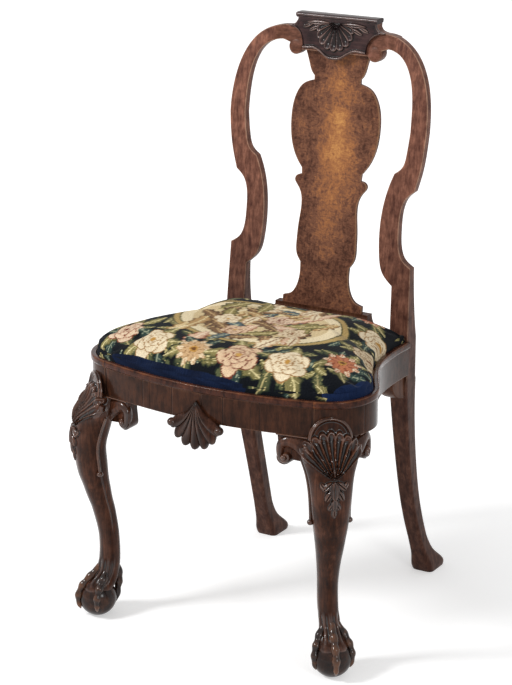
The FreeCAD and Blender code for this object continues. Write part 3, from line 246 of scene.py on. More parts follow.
# %% Burr finish
def burr_walnut():
    """Burr veneer: bent cells for the knots over a streaky ground that is golden in the vase's middle."""
    made, tree, shader = new_finish("burr_walnut_veneer")
    place = node(tree, "ShaderNodeTexCoord").outputs["Object"]
    swirl = node(tree, "ShaderNodeTexNoise", {"Vector": place, "Scale": per_metre(26)[0], "Detail": 5.0})
    push = node(tree, "ShaderNodeVectorMath", {0: swirl.outputs["Color"], 1: (0.022, 0.022, 0.022)},
                operation="MULTIPLY")
    bent = node(tree, "ShaderNodeVectorMath", {0: place, 1: push.outputs[0]}, operation="ADD").outputs[0]
    long = node(tree, "ShaderNodeMapping", {"Vector": bent, "Scale": per_metre(4, 4, 24)}).outputs[0]
    streak = node(tree, "ShaderNodeTexNoise",
                  {"Vector": long, "Scale": 1.0, "Detail": 7.0, "Roughness": 0.72})
    eyes = []
    for size_mm, reach in ((7, 0.5), (19, 0.3)):
        knots = node(tree, "ShaderNodeTexVoronoi", {"Vector": bent, "Scale": per_metre(size_mm)[0]})
        eyes.append(node(tree, "ShaderNodeMapRange", {"Value": knots.outputs["Distance"], "From Max": reach}))
    eye = node(tree, "ShaderNodeMix", {"Factor": 0.45, "A": eyes[0].outputs[0], "B": eyes[1].outputs[0]})
    fleck_at = node(tree, "ShaderNodeMapping", {"Vector": bent, "Scale": per_metre(7, 4, 2.2)}).outputs[0]
    fleck = node(tree, "ShaderNodeTexNoise",
                 {"Vector": fleck_at, "Scale": 1.0, "Detail": 3.0, "Roughness": 0.7})
    mottle = node(tree, "ShaderNodeTexNoise", {"Vector": bent, "Scale": per_metre(38)[0], "Detail": 6.0,
                                               "Roughness": 0.7})
    from_heart = node(tree, "ShaderNodeMapping", {"Vector": bent, "Location": (-0.45, 0.0, -4.75),
                                                  "Scale": per_metre(40, 4000, 165)})
    away = node(tree, "ShaderNodeVectorMath", {0: from_heart.outputs[0]}, operation="LENGTH")
    golden = node(tree, "ShaderNodeMapRange", {"Value": away.outputs["Value"], "From Min": 0.1,
                                               "From Max": 1.35, "To Min": 0.16, "To Max": -0.05})
    base = node(tree, "ShaderNodeMix",
                {"Factor": 0.55, "A": streak.outputs["Fac"], "B": mottle.outputs["Fac"]})
    fine = node(tree, "ShaderNodeMix", {"Factor": 0.3, "A": base.outputs[0], "B": fleck.outputs["Fac"]})
    lifted = node(tree, "ShaderNodeMath", {0: fine.outputs[0], 1: golden.outputs[0]}, operation="ADD")
    knotted = node(tree, "ShaderNodeMath", {0: eye.outputs[0], 1: 0.15}, operation="MULTIPLY")
    tone = node(tree, "ShaderNodeMath", {0: lifted.outputs[0], 1: knotted.outputs[0]}, operation="ADD")
    spread = node(tree, "ShaderNodeMapRange", {"Value": tone.outputs[0], "From Min": 0.4, "From Max": 0.9})
    wood = tones(tree, spread.outputs[0], [(0.0, "#25130c"), (0.28, "#4e3024"), (0.48, "#704a38"),
                                           (0.7, "#9a653f"), (1.0, "#c68e53")])
    edge = node(tree, "ShaderNodeAttribute", attribute_name="edge").outputs["Fac"]
    worn = node(tree, "ShaderNodeMapRange", {"Value": edge, "From Min": 0.3, "From Max": 0.9, "To Max": 0.6})
    final = node(tree, "ShaderNodeMix", {"Factor": worn.outputs[0], "A": wood, "B": colour("#a97f5c")},
                 data_type="RGBA")
    dull = node(tree, "ShaderNodeMapRange", {"Value": mottle.outputs["Fac"], "To Min": 0.5, "To Max": 0.34})
    bump = node(tree, "ShaderNodeBump", {"Height": tone.outputs[0], "Strength": 0.25, "Distance": 0.5 * MM})
    for socket, source in (("Base Color", final.outputs[2]), ("Roughness", dull.outputs[0]),
                           ("Normal", bump.outputs[0])):
        tree.links.new(source, shader.inputs[socket])
    shader.inputs["Specular IOR Level"].default_value = 0.1
    return made


BURR_WALNUT = burr_walnut()
print("burr finish:", len(BURR_WALNUT.node_tree.nodes), "nodes")

# %% [markdown]
# ## Surfaces from whole arrays
# Every new piece is a grid of points: rows along a path, columns round a section. numpy works out all the
# points at once. Curves between known points are natural cubic splines. Once a grid is a mesh, points that
# coincide are merged, so seams and poles close, and the normals are turned outwards.

# %% Helpers for curves and grids
def natural_spline(at, places, values):
    """Cubic spline through values at places: a tridiagonal system gives its bends, zero at the ends."""
    places = np.asarray(places, float)
    values = np.asarray(values, float).reshape(len(places), -1)
    gaps = np.diff(places)[:, None]
    count = len(places)
    inner = np.arange(1, count - 1)
    system = np.eye(count)
    system[inner, inner - 1] = gaps[:-1, 0]
    system[inner, inner] = 2 * (gaps[:-1, 0] + gaps[1:, 0])
    system[inner, inner + 1] = gaps[1:, 0]
    right = np.zeros_like(values)
    right[1:-1] = 6 * np.diff(np.diff(values, axis=0) / gaps, axis=0)
    bend = np.linalg.solve(system, right)
    at = np.asarray(at, float)
    k = np.clip(np.searchsorted(places, at) - 1, 0, count - 2)
    b = ((at - places[k])[:, None]) / gaps[k]
    a = 1 - b
    cubic = ((a ** 3 - a) * bend[k] + (b ** 3 - b) * bend[k + 1]) * gaps[k] ** 2 / 6
    return a * values[k] + b * values[k + 1] + cubic


def curve(points, count):
    """Even steps in chord length along the spline through points."""
    points = np.asarray(points, float)
    along = np.concatenate([[0.0], np.cumsum(np.linalg.norm(np.diff(points, axis=0), axis=1))])
    return natural_spline(np.linspace(0, along[-1], count), along, points)


def profile(at, knots):
    """One number that follows knots of (place, value) smoothly; the places rise."""
    places, values = np.array(sorted(knots), float).T
    held = np.clip(np.ravel(at), places[0], places[-1])
    return natural_spline(held, places, values)[:, 0].reshape(np.shape(at))


def smoothstep(value, low, high):
    """0 below low, 1 above high, and 3t^2 - 2t^3 between them; high may be the lower number."""
    share = np.clip((value - low) / (high - low), 0, 1)
    return share * share * (3 - 2 * share)


def grid_normals(grid):
    """Unit normals of a grid from its two gradients, turned away from its middle."""
    down, across = np.gradient(grid, axis=0), np.gradient(grid, axis=1)
    normal = np.cross(across, down)
    normal /= np.maximum(np.linalg.norm(normal, axis=-1, keepdims=True), 1e-9)
    outwards = np.sum((grid - grid.mean((0, 1))) * normal)
    return normal if outwards > 0 else -normal


def edge_marks(grid, ring, spread):
    """Bend of the surface, as a share of a 1.6 mm radius: rounded edges near 1, sharp hollows near -1."""
    bend = np.zeros(grid.shape[:2])
    normal = grid_normals(grid)
    for axis, closed in ((0, False), (1, ring)):
        margin = [(1, 1) if k == axis else (0, 0) for k in range(3)]
        step = np.diff(np.pad(grid, margin, "wrap" if closed else "edge"), axis=axis)
        size = np.maximum(np.linalg.norm(step, axis=-1, keepdims=True), 0.05)
        turn = np.diff(step / size, axis=axis)
        before, after = (np.take(size, range(k, k + grid.shape[axis]), axis=axis)[..., 0] for k in (0, 1))
        bend -= 2 * np.sum(turn * normal, axis=-1) / (before + after)
    bend[:2] = bend[-2:] = 0
    for _ in range(spread):
        rows = np.pad(bend, ((1, 1), (0, 0)), "edge")
        cols = np.pad(bend, ((0, 0), (1, 1)), "wrap" if ring else "edge")
        bend = bend / 2 + (rows[2:] + rows[:-2] + cols[:, 2:] + cols[:, :-2]) / 8
    return np.clip(1.6 * bend, -1, 1)


def grid_faces(rows, cols, ring):
    """Corner numbers of the quads of a grid; a ring also joins its last column to its first."""
    numbers = np.arange(rows * cols).reshape(rows, cols)
    after = np.roll(numbers, -1, axis=1)
    last = cols if ring else cols - 1
    quads = np.stack([numbers[:-1], after[:-1], after[1:], numbers[1:]], axis=-1)[:, :last]
    return quads.reshape(-1, 4)


def capped(grid):
    """The grid with its end rows drawn in to their middles."""
    first, last = (row * 0 + row.mean(1, keepdims=True) for row in (grid[:1], grid[-1:]))
    return np.concatenate([first, grid, last])


# %% [markdown]
# ## From grids to a piece
# A piece of the chair may need several grids, such as a ball and four toes. They become one mesh with one
# finish, which rides on a body of the frame and takes the place of the plainer solid there. Edges sharper
# than a set angle stay crisp, and everything else is shaded smooth.

# %% Turn grids into a piece
def closed_up(mesh):
    """Merges points that coincide, which closes seams and poles, and turns the faces outwards."""
    work = bmesh.new()
    work.from_mesh(mesh)
    bmesh.ops.remove_doubles(work, verts=work.verts, dist=0.01 * MM)
    bmesh.ops.recalc_face_normals(work, faces=work.faces)
    work.to_mesh(mesh)
    work.free()


def add_piece(name, grids, finish, body="chair_frame", replaces=(), ring=True, spread=3, crease=42,
              rubbed=None):
    """One mesh from grids in millimetres, with its edge marks, finish and body; rubbed adds wear to each
    grid's marks."""
    points, faces, marks, start = [], [], [], 0
    for grid, more in zip(grids, rubbed or [0.0] * len(grids)):
        points.append(grid.reshape(-1, 3))
        marks.append(edge_marks(grid, ring, spread).ravel() + more)
        faces.append(grid_faces(*grid.shape[:2], ring) + start)
        start += grid.shape[0] * grid.shape[1]
    mesh = bpy.data.meshes.new(name)
    mesh.from_pydata((np.concatenate(points) * MM).tolist(), [], np.concatenate(faces).tolist())
    edge = mesh.attributes.new("edge", "FLOAT", "POINT")
    edge.data.foreach_set("value", np.concatenate(marks).astype(np.float32))
    closed_up(mesh)
    mesh.shade_smooth()
    mesh.set_sharp_from_angle(angle=math.radians(crease))
    mesh.materials.append(finish)
    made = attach(add_object(name, mesh), body)
    if replaces:
        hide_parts(*replaces)
    print(name, len(mesh.polygons), "faces")
    return made


def mirrored(grid):
    """The same grid on the other side of the chair."""
    return grid * np.array([-1.0, 1.0, 1.0])


# %% [markdown]
# ## The line of the back
# The posts, crest rail and splat all follow one raked and slightly hollow line, as if sawn from planks that
# were cut to the same side template. Their front outlines are the second template. These sizes are the ones
# that the frame was built to, in millimetres.

# %% Side and front templates of the back
SEAT_HEIGHT, CREST_TOP, RAIL_BOTTOM, LEDGE = 470.0, 1000.0, 410.0, 458.0
BACK_HEIGHT = CREST_TOP - SEAT_HEIGHT
POST_FRONT, POST_BACK, POST_INNER, POST_OUTER = 121.0, 159.0, 147.0, 183.0
BLOCK_FOOT = 400.0
CREST_HALF, HOOP_TOP, HOOP_WIDEST = 118.0, 980.0, 825.0
HOOP_HALF, HOOP_INNER, HOOP_BAND = 193.0, 162.0, 25.0


def back_front(z):
    """Front of the posts and crest: a raked line less a parabola of 8 mm sag."""
    share = (z - SEAT_HEIGHT) / BACK_HEIGHT
    return POST_FRONT + 73 * share - 32 * share * (1 - share)


def splat_front(z):
    """Front of the splat: set behind the posts, bowed back and returned to the crest by a fifth power."""
    share = (z - SEAT_HEIGHT) / BACK_HEIGHT
    return back_front(z) + 22 * (1 + 0.55 * share - 1.6 * share ** 5)


def hoop_edge(half, top, squareness, count):
    """Squared ellipse from the hoop's widest place to the crest joint, its points closer at the widest."""
    centre = CREST_HALF - HOOP_BAND
    turn = np.linspace(0, 1, count)
    x = half - (half - CREST_HALF) * turn ** 1.7
    share = (x - centre) / (half - centre)
    z = HOOP_WIDEST + (top - HOOP_WIDEST) * np.maximum(1 - share ** squareness, 0) ** (1 / squareness)
    return np.stack([x, z], axis=1)


OUTER_ARCH = hoop_edge(HOOP_HALF, HOOP_TOP, 2.3, 60)
INNER_ARCH = hoop_edge(HOOP_INNER, HOOP_TOP - HOOP_BAND, 2.806, 60)
print("back leans", round(float(back_front(CREST_TOP)) - POST_FRONT), "mm over", round(BACK_HEIGHT), "mm")


def rounded_ring(width, depth, front_round, back_round, fill=(6, 5, 6, 7), arc=6):
    """Ring of a board's section: places across and deep for each row, with quarter circles at four corners;
    fill counts the points on the second edge, the back, the first edge and the front."""
    rounds = [np.minimum(np.broadcast_to(r, width.shape), 0.49 * np.minimum(width, depth))
              for r in (front_round, back_round, back_round, front_round)]
    across, deep = [], []
    for k, radius in enumerate(rounds):
        angle = np.radians(np.linspace(-90, 0, arc) + 90 * k)
        radius = radius[:, None]
        middle_a = (width[:, None] - radius) if k in (0, 1) else radius
        middle_d = radius if k in (0, 3) else (depth[:, None] - radius)
        across.append(middle_a + radius * np.cos(angle))
        deep.append(middle_d + radius * np.sin(angle))
    ring_a, ring_d = [], []
    for k in range(4):
        share = np.linspace(0, 1, fill[k] + 2)[1:-1]
        following = (k + 1) % 4
        for corners, ring in ((across, ring_a), (deep, ring_d)):
            start, end = corners[k][:, -1:], corners[following][:, :1]
            ring += [corners[k], start + (end - start) * share]
    return np.concatenate(ring_a, axis=1), np.concatenate(ring_d, axis=1)


def board(edge_a, edge_b, front, back, front_round, back_round, fill=(6, 5, 6, 7), relief=None):
    """Board between two edges in x and z: each section joins like points of the edges, front and back
    follow depth functions of height, and relief raises the front by a function of x, z and both margins."""
    way = edge_b - edge_a
    width = np.linalg.norm(way, axis=1)
    middle = (edge_a[:, 1] + edge_b[:, 1]) / 2
    depth = back(middle) - front(middle)
    ring_a, ring_d = rounded_ring(width, depth, front_round, back_round, fill)
    spot = edge_a[:, None] + way[:, None] / width[:, None, None] * ring_a[..., None]
    y = front(spot[..., 1]) + ring_d
    if relief is not None:
        facing = smoothstep(ring_d, depth[:, None] * 0.6, 0.0)
        y = y - facing * relief(spot[..., 0], spot[..., 1], ring_a, width[:, None] - ring_a)
    return np.stack([spot[..., 0], y, spot[..., 1]], axis=-1)


# %% [markdown]
# ## Rear posts
# Each post is one piece of walnut from the floor to the crest: a spread pad foot, a raked leg with eased
# corners, the square block that takes the seat rails, and a stile with two steps and a scooped waist that
# swells into the hoop. The front keeps a crisp face and the back is rounded by the spokeshave. A section
# carried up two outlines makes all of that in one surface.

# %% Posts
LEG_CENTRE = (POST_INNER + POST_OUTER) / 2
REAR_FOOT_LINE, REAR_FOOT_TOP = 242.0, 74.0
FOOT_FLARE = [(0, 13.6), (4, 15.4), (12, 15.8), (20, 13.2), (36, 6.2), (55, 1.6), (REAR_FOOT_TOP, 0.0)]
LEG_INWARDS = [(0, 0.0), (30, 0.6), (90, 4.0), (145, 6.0), (215, 5.4), (300, 3.0), (BLOCK_FOOT, 0.0)]
LEG_BACKWARDS = [(0, 4.0), (100, 2.4), (200, 3.0), (300, 2.0), (BLOCK_FOOT, 0.0)]


def leg_line(z):
    """Middle of the rear leg from the side: a straight rake less a 16 mm parabola, eased backwards."""
    share = z / BLOCK_FOOT
    straight = REAR_FOOT_LINE + ((POST_FRONT + POST_BACK) / 2 - REAR_FOOT_LINE) * share
    return straight - 64 * share * (1 - share) + profile(z, LEG_BACKWARDS)


def leg_half(z, narrow, wide, power):
    """Half thickness of the rear leg: a power of the height."""
    return (narrow + (wide - narrow) * np.clip(z / BLOCK_FOOT, 0, 1) ** power) / 2


def foot_flare(z):
    """Spread of the pad foot beyond the leg; it dies away at the top of the foot."""
    return np.where(z < REAR_FOOT_TOP, profile(z, FOOT_FLARE), 0.0)


def post_front(z):
    """Front of a post from the floor up; the foot hardly spreads forwards."""
    leg = leg_line(z) - leg_half(z, 28, 42, 2) - 0.2 * foot_flare(z)
    return np.where(z < BLOCK_FOOT, leg, np.where(z < SEAT_HEIGHT, POST_FRONT, back_front(z)))


def post_back(z):
    """Back of a post: round the leg, square at the block, then tapered to an even 20 mm."""
    leg = leg_line(z) + leg_half(z, 26, 38, 4) + 1.75 * foot_flare(z)
    fade = np.clip(1 - (z - SEAT_HEIGHT) / 140, 0, 1)
    stile = back_front(z) + 20 + 18 * fade ** 2
    return np.where(z < BLOCK_FOOT, leg, np.where(z < SEAT_HEIGHT, POST_BACK, stile))


def scoop(start, end, depth, stations, count):
    """Curve from start to end, drawn towards the centre line by shares of a depth."""
    points = [start]
    for along, share in stations:
        points.append((start[0] + (end[0] - start[0]) * along - depth * share,
                       start[1] + (end[1] - start[1]) * along))
    return curve(points + [end], count)


LOWER_OUTER, LOWER_INNER = (179.0, 595.0), (145.0, 560.0)
UPPER_OUTER, UPPER_INNER = (176.0, 725.0), (136.0, 752.0)
OUTER_WAIST = [(0.1, 0.66), (0.24, 0.93), (0.48, 1.0), (0.74, 0.9), (0.9, 0.56)]
INNER_WAIST = [(0.11, 0.75), (0.25, 0.98), (0.48, 1.0), (0.74, 0.72), (0.93, 0.24)]
WAIST_DEPTH = 26.0


def straight(start, end, count):
    """Even steps on a line."""
    return np.linspace(start, end, count)


def post_edges():
    """Outer and inner outline of the right post, run by run with as many points in each."""
    z = np.concatenate([np.linspace(0, REAR_FOOT_TOP, 38), np.linspace(REAR_FOOT_TOP + 4, BLOCK_FOOT, 56)])
    half = leg_half(z, 28, 36, 3) + 0.45 * foot_flare(z)
    centre = LEG_CENTRE - profile(z, LEG_INWARDS)
    outer = [np.stack([centre + half, z], 1),
             straight((POST_OUTER, BLOCK_FOOT), (POST_OUTER, SEAT_HEIGHT), 8),
             straight((POST_OUTER, SEAT_HEIGHT), LOWER_OUTER, 14),
             scoop(LOWER_OUTER, UPPER_OUTER, WAIST_DEPTH, OUTER_WAIST, 60),
             scoop(UPPER_OUTER, (HOOP_HALF, HOOP_WIDEST), -3.4, [(0.35, 1.0)], 30), OUTER_ARCH]
    inner = [np.stack([centre - half, z], 1),
             straight((POST_INNER, BLOCK_FOOT), (POST_INNER, SEAT_HEIGHT), 8),
             straight((POST_INNER, SEAT_HEIGHT), LOWER_INNER, 14),
             scoop(LOWER_INNER, UPPER_INNER, WAIST_DEPTH, INNER_WAIST, 60),
             scoop(UPPER_INNER, (HOOP_INNER, HOOP_WIDEST), -10.4, [(0.16, 0.95), (0.45, 0.9)], 30),
             INNER_ARCH]
    return np.concatenate(outer), np.concatenate(inner)


outer_edge, inner_edge = post_edges()
post_middle = (outer_edge[:, 1] + inner_edge[:, 1]) / 2
foot_ease = 4.0 * smoothstep(post_middle, 60, 20)
below_block = post_middle < BLOCK_FOOT - 5
front_ease = np.where(below_block, 5.0 + foot_ease, 1.6)
back_ease = np.where(below_block, 5.5 + foot_ease, 8.5)


def hollowed(grid):
    """The back is hollow in plan: the hoops stand up to 9 mm forward of the tablet, less nearer the waist."""
    shift = -9 * smoothstep(grid[..., 2], 690, 850) * smoothstep(np.abs(grid[..., 0]), 84, 150)
    return grid + shift[..., None] * np.array([0.0, 1.0, 0.0])


post = hollowed(capped(board(outer_edge, inner_edge, post_front, post_back, front_ease, back_ease)))
for side, grid in (("right", post), ("left", mirrored(post))):
    add_piece(f"post_{side}", [grid], POST_WALNUT, replaces=[f"rear_post_{side}"])

# %% [markdown]
# ## Crest rail and its scrolls
# The crest joins the two hoops. It is sawn with a raised middle, and a plump round scroll hangs under each
# end beside the splat. The rail is another board between two outlines, and each scroll is a button: a round
# outline carried over a domed profile.

# %% Crest rail
def both_sides(half):
    """A right-hand edge from the centre line outwards, joined to its mirror image."""
    return np.concatenate([half[::-1] * np.array([-1, 1]), half[1:]])


crest_top = np.concatenate([straight((0, 1001), (76, 1001), 40), straight((76, 1001), (75.5, 991), 6),
                            curve([(75.5, 991), (80, 984.5), (93, 980)], 16),
                            curve([(93, 980), (105.5, 979.3), OUTER_ARCH[-1]], 16)])
crest_low = np.concatenate([straight((0, 940), (62, 940), 40), straight((62, 940), (70, 941), 6),
                            curve([(70, 941), (88, 950), (103, 955)], 16),
                            curve([(103, 955), (110.5, 954.3), INNER_ARCH[-1]], 16)])
crest = hollowed(capped(board(both_sides(crest_top), both_sides(crest_low), back_front,
                              lambda z: back_front(z) + 22, 1.5, 6.0)))
add_piece("crest", [crest], CREST_WALNUT, replaces=["crest_rail"])


def button(outline, rows, centre, place):
    """A closed outline shrunk by each row's share about a centre, at that row's depth, and set in place."""
    centre = np.asarray(centre)
    return np.stack([place(*(centre + (outline - centre) * share).T, depth) for share, depth in rows])


SCROLL_SPOT, SCROLL_RADIUS = (77.0, 945.0), 14.0
around = np.linspace(0, 2 * math.pi, 73)[:-1]
scroll_rim = np.array(SCROLL_SPOT) + SCROLL_RADIUS * np.stack([np.cos(around), np.sin(around)], 1)
scroll_rows = [(0.0, -1.2), (0.3, -1.2), (0.6, -1.0), (0.82, -0.5), (0.93, 0.3), (0.985, 1.5), (1.0, 3.0),
               (1.0, 16.0), (0.96, 19.5), (0.85, 21.4), (0.6, 22.2), (0.0, 22.4)]
scroll = button(scroll_rim, scroll_rows, SCROLL_SPOT,
                lambda x, z, depth: np.stack([x, back_front(z) + depth, z], -1))
for side, grid in (("right", scroll), ("left", mirrored(scroll))):
    add_piece(f"crest_scroll_{side}", [grid], CREST_WALNUT)

# %% [markdown]
# ## Carved tablet
# A dark tablet covers the middle of the crest: a thin cornice, a fan shell that opens downwards with leaves
# at each side, and a bead along the scalloped lower edge. Carving is relief, so the front face of a board
# gets a fine grid and a height function: petals are hollow curves across the angle about a hinge, and leaves
# and beads are half ellipses across a line.

# %% Relief shapes
def ribs(angle, count, spread, sharp=0.6):
    """Convex ribs side by side over plus or minus a spread: |cos| of the angle to a power."""
    return np.abs(np.cos(angle / (2 * spread) * count * math.pi + (count % 2 == 0) * math.pi / 2)) ** sharp


def ridge(distance, half_width):
    """Half round bead across a distance."""
    return np.sqrt(np.maximum(1 - (distance / half_width) ** 2, 0))


def leaf(x, z, start, end, width, lift):
    """A leaf from start to end: half width a sine to the power 0.75, face a half ellipse with a midrib."""
    start, end = np.asarray(start, float), np.asarray(end, float)
    way = end - start
    length = np.hypot(*way)
    along = ((x - start[0]) * way[0] + (z - start[1]) * way[1]) / length ** 2
    off = ((x - start[0]) * way[1] - (z - start[1]) * way[0]) / length
    half = width * np.sin(math.pi * np.clip(along, 0, 1)) ** 0.75
    inside = np.maximum(1 - (off / np.maximum(half, 1e-3)) ** 2, 0) * (half > 0.05)
    vein = 1 - 0.45 * np.exp(-(off / 0.8) ** 2)
    return lift * np.sqrt(inside) * vein


def leaves(x, z, shapes):
    """The highest of several leaves at each point."""
    return np.maximum.reduce([leaf(x, z, *shape) for shape in shapes])


def fan(x, z, hinge, up, spread, count, reach, lift):
    """Fan of hollow petals about a hinge: a power of 2.2 across each petal leaves thin ridges between them,
    a rim closes each tip, and the tips follow a reach given for each angle."""
    angle = np.arctan2(x - hinge[0], (z - hinge[1]) * up)
    radius = np.hypot(x - hinge[0], z - hinge[1])
    place = (angle / spread + 1) / 2 * count
    border = (2 * np.abs(place - np.floor(place) - 0.5)) ** 2.2
    share = radius / (reach(angle) * (1 - 0.1 * border))
    tip = smoothstep(share, 0.74, 0.93) * (1 - border) * 0.6
    body = smoothstep(share, 1.0, 0.93) * smoothstep(radius, 1.0, 9.0)
    inside = smoothstep(np.abs(angle), spread * 1.03, spread * 0.98)
    return body * inside * lift * (0.25 + 0.75 * border + tip)


# %% [markdown]
# ## Tablet and its cornice
# The tablet is a thin board with that relief on its face, planted on the crest. The cornice on top is a small
# moulding: a planed profile carried straight across, with its ends drawn in.

# %% Tablet and cornice
WING_LEAVES = [((10, 989), (58, 988), 4.6, 3.4), ((32, 983), (52, 974), 4.2, 3.0),
               ((44, 987), (64, 979), 4.0, 2.8)]


def tablet_relief(x, z, from_top, from_bottom):
    """Fan under the cornice, three leaves each side and a bead above the lower edge, on a sunk ground."""
    side = np.abs(x)
    ground = -1.2 * smoothstep(from_bottom, 2.0, 6.0) * smoothstep(from_top, 2.0, 8.0)
    shell = fan(x, z, (0.0, 992.0), -1, math.radians(80), 9,
                lambda angle: 51 - 14 * (np.abs(angle) / 1.4) ** 2, 4.6)
    bead = 1.6 * ridge(from_bottom - 3.2, 2.0)
    return ground + np.maximum.reduce([shell, leaves(side, z, WING_LEAVES), bead])


tablet_top = np.concatenate([straight((0, 996), (75.5, 996), 90),
                             curve([(75.5, 992), (80, 985), (93, 980.5)], 24)])
tablet_low = np.concatenate([curve([(0, 929), (10, 929.9), (21.6, 936), (31.5, 941.8), (41.5, 945)], 50),
                             straight((42, 945), (61, 943.4), 22),
                             curve([(61, 943.4), (62.6, 957), (68, 968), (78, 975.5), (93, 979.5)], 42)])
tablet = capped(board(both_sides(tablet_top), both_sides(tablet_low), lambda z: back_front(z) - 4.2,
                      lambda z: back_front(z) + 0.6, 1.2, 0.5, (2, 3, 2, 140), tablet_relief))
add_piece("tablet", [tablet], TABLET_WALNUT, replaces=["crest_tablet"], spread=4)

CORNICE = [(0.6, 994.6), (-4.6, 994.8), (-5.6, 995.6), (-5.8, 997.0), (-7.2, 998.0), (-7.9, 999.8),
           (-7.2, 1002.0), (-5.4, 1003.2), (-1.0, 1003.6), (10.0, 1003.6), (17.0, 1003.0), (19.0, 1000.5),
           (18.0, 996.0), (10.0, 994.6)]
cornice_deep, cornice_z = np.array(CORNICE).T
cornice_x = np.concatenate([[-78.4], np.linspace(-78.0, 78.0, 60), [78.4]])
cornice = np.stack(np.broadcast_arrays(cornice_x[:, None], back_front(996.0) + cornice_deep, cornice_z), -1)
add_piece("tablet_cornice", [capped(cornice)], TABLET_WALNUT, spread=1)

# %% [markdown]
# ## Splat
# The vase-shaped splat is a thin board bent to the sitter's back, faced with burr veneer. Both layers are
# boards between a left and a right outline, at two depths. The outline is written as runs between a narrow
# and a wide half width, so the neck, shoulder, lugs and foot stay crisp where the runs meet.

# %% Splat and its veneer
SHOE_TOP, CREST_BOTTOM = 496.0, 940.0
SPLAT_FLANK = [
    (45.0, 63.0, [(1.0, 1.0), (0.61, 0.95), (0.22, 0.91), (0.0, 0.9)]),
    (45.0, 63.0, [(0.0, 0.9), (0.0, 0.883)]),
    (45.0, 87.0, [(0.0, 0.883), (0.476, 0.866), (0.81, 0.824), (1.0, 0.72), (0.81, 0.61), (0.524, 0.56),
                  (0.333, 0.538)]),
    (54.5, 71.0, [(0.273, 0.538), (0.21, 0.512)]),
    (54.5, 71.0, [(0.21, 0.512), (0.82, 0.505), (1.0, 0.492), (0.636, 0.468), (0.18, 0.44), (0.0, 0.393),
                  (0.18, 0.32), (0.27, 0.25), (0.12, 0.197), (-0.36, 0.17)]),
    (48.0, 79.0, [(0.016, 0.17), (0.0, 0.135), (0.177, 0.071), (0.484, 0.041), (1.0, 0.027)]),
    (48.0, 79.0, [(1.0, 0.027), (1.0, 0.0)]),
]


def splat_edge():
    """Right outline of the splat, from the crest down to the shoe."""
    runs = []
    for narrow, wide, stations in SPLAT_FLANK:
        points = [(narrow + (wide - narrow) * share, SHOE_TOP + (CREST_BOTTOM - SHOE_TOP) * level)
                  for share, level in stations]
        runs.append(curve(points, 6 * len(points) if len(points) > 2 else 6))
    return np.concatenate(runs)


right_edge = splat_edge()
left_edge = right_edge * np.array([-1, 1])
veneer = board(left_edge, right_edge, lambda z: splat_front(z) - 1.6, splat_front, 0.6, 0.2, (1, 8, 1, 44))
add_piece("splat_face", [capped(veneer)], BURR_WALNUT, replaces=["splat_veneer"],
          spread=2)
core = board(left_edge, right_edge, splat_front, lambda z: splat_front(z) + 7, 0.3, 2.4, (3, 24, 3, 10))
add_piece("splat_core", [capped(core)], POST_WALNUT, replaces=["splat"], spread=2)

# %% [markdown]
# ## The seat's plan
# The seat has a bowed front, round corners and hollow sides, all arcs that meet smoothly. One function gives
# the points of that plan with their outward directions, so a moulding is just a profile of insets and heights
# carried along it.

# %% Plan of the seat
SEAT_FRONT, CORNER_X, CORNER_LINE, CORNER_RADIUS = -264.0, 179.0, -161.0, 77.0
SEAT_REAR_HALF, SIDE_END = 189.0, 94.0
LEG_TURN = math.radians(49.0)
front_gap = CORNER_LINE - SEAT_FRONT
FRONT_RADIUS = (CORNER_X ** 2 + front_gap ** 2 - CORNER_RADIUS ** 2) / (2 * (front_gap - CORNER_RADIUS))
side_shift, side_run = SEAT_REAR_HALF - CORNER_X, SIDE_END - CORNER_LINE
SIDE_RADIUS = (side_shift ** 2 + side_run ** 2 - CORNER_RADIUS ** 2) / (2 * (CORNER_RADIUS - side_shift))
SIDE_TURN = math.asin(side_run / (CORNER_RADIUS + SIDE_RADIUS))
FRONT_TURN = math.atan2(front_gap - FRONT_RADIUS, CORNER_X)
FULLNESS = [(-245, 0.0), (-232, 0.6), (-219, 3.0), (-200, 5.6), (-161, 9.6), (-121, 12.6), (-85, 10.0),
            (-45, 4.6), (-5, 1.0), (40, 0.0)]


def fuller(run):
    """A stretch of the plan moved outwards behind the leg, by an amount that follows its place in y."""
    spot, way = run
    return spot + way * profile(spot[:, 1], FULLNESS)[:, None], way


def arc_points(centre, radius, start, end, count, inside=1):
    """Points of an arc with the plan's outward directions; inside is -1 where the arc is hollow."""
    turn = np.linspace(start, end, count)
    way = np.stack([np.cos(turn), np.sin(turn)], 1)
    return np.asarray(centre) + inside * radius * way, way


def front_run(start, end, count):
    """Stretch of the bowed front between two angles."""
    return arc_points((0, SEAT_FRONT + FRONT_RADIUS), FRONT_RADIUS, start, end, count)


def corner_run(start, end, count):
    """Stretch of the right corner between two angles."""
    return fuller(arc_points((CORNER_X, CORNER_LINE), CORNER_RADIUS, start, end, count))


def side_run_points(count):
    """The hollow right side, back to the post."""
    reach = CORNER_RADIUS + SIDE_RADIUS
    centre = (CORNER_X + reach * math.cos(SIDE_TURN), CORNER_LINE + reach * math.sin(SIDE_TURN))
    hollow = arc_points(centre, SIDE_RADIUS, SIDE_TURN, 0.0, count, -1)
    end = straight((SEAT_REAR_HALF, SIDE_END), (SEAT_REAR_HALF, POST_FRONT), 6)
    return fuller(joined(hollow, (end, end * 0 + np.array([1.0, 0.0]))))


def joined(*runs):
    """Stretches laid end to end."""
    return np.concatenate([run[0] for run in runs]), np.concatenate([run[1] for run in runs])


def across(run):
    """A right-hand stretch from the centre line, with its mirror image before it."""
    flip = np.array([-1.0, 1.0])
    return tuple(np.concatenate([part[::-1] * flip, part[1:]]) for part in run)


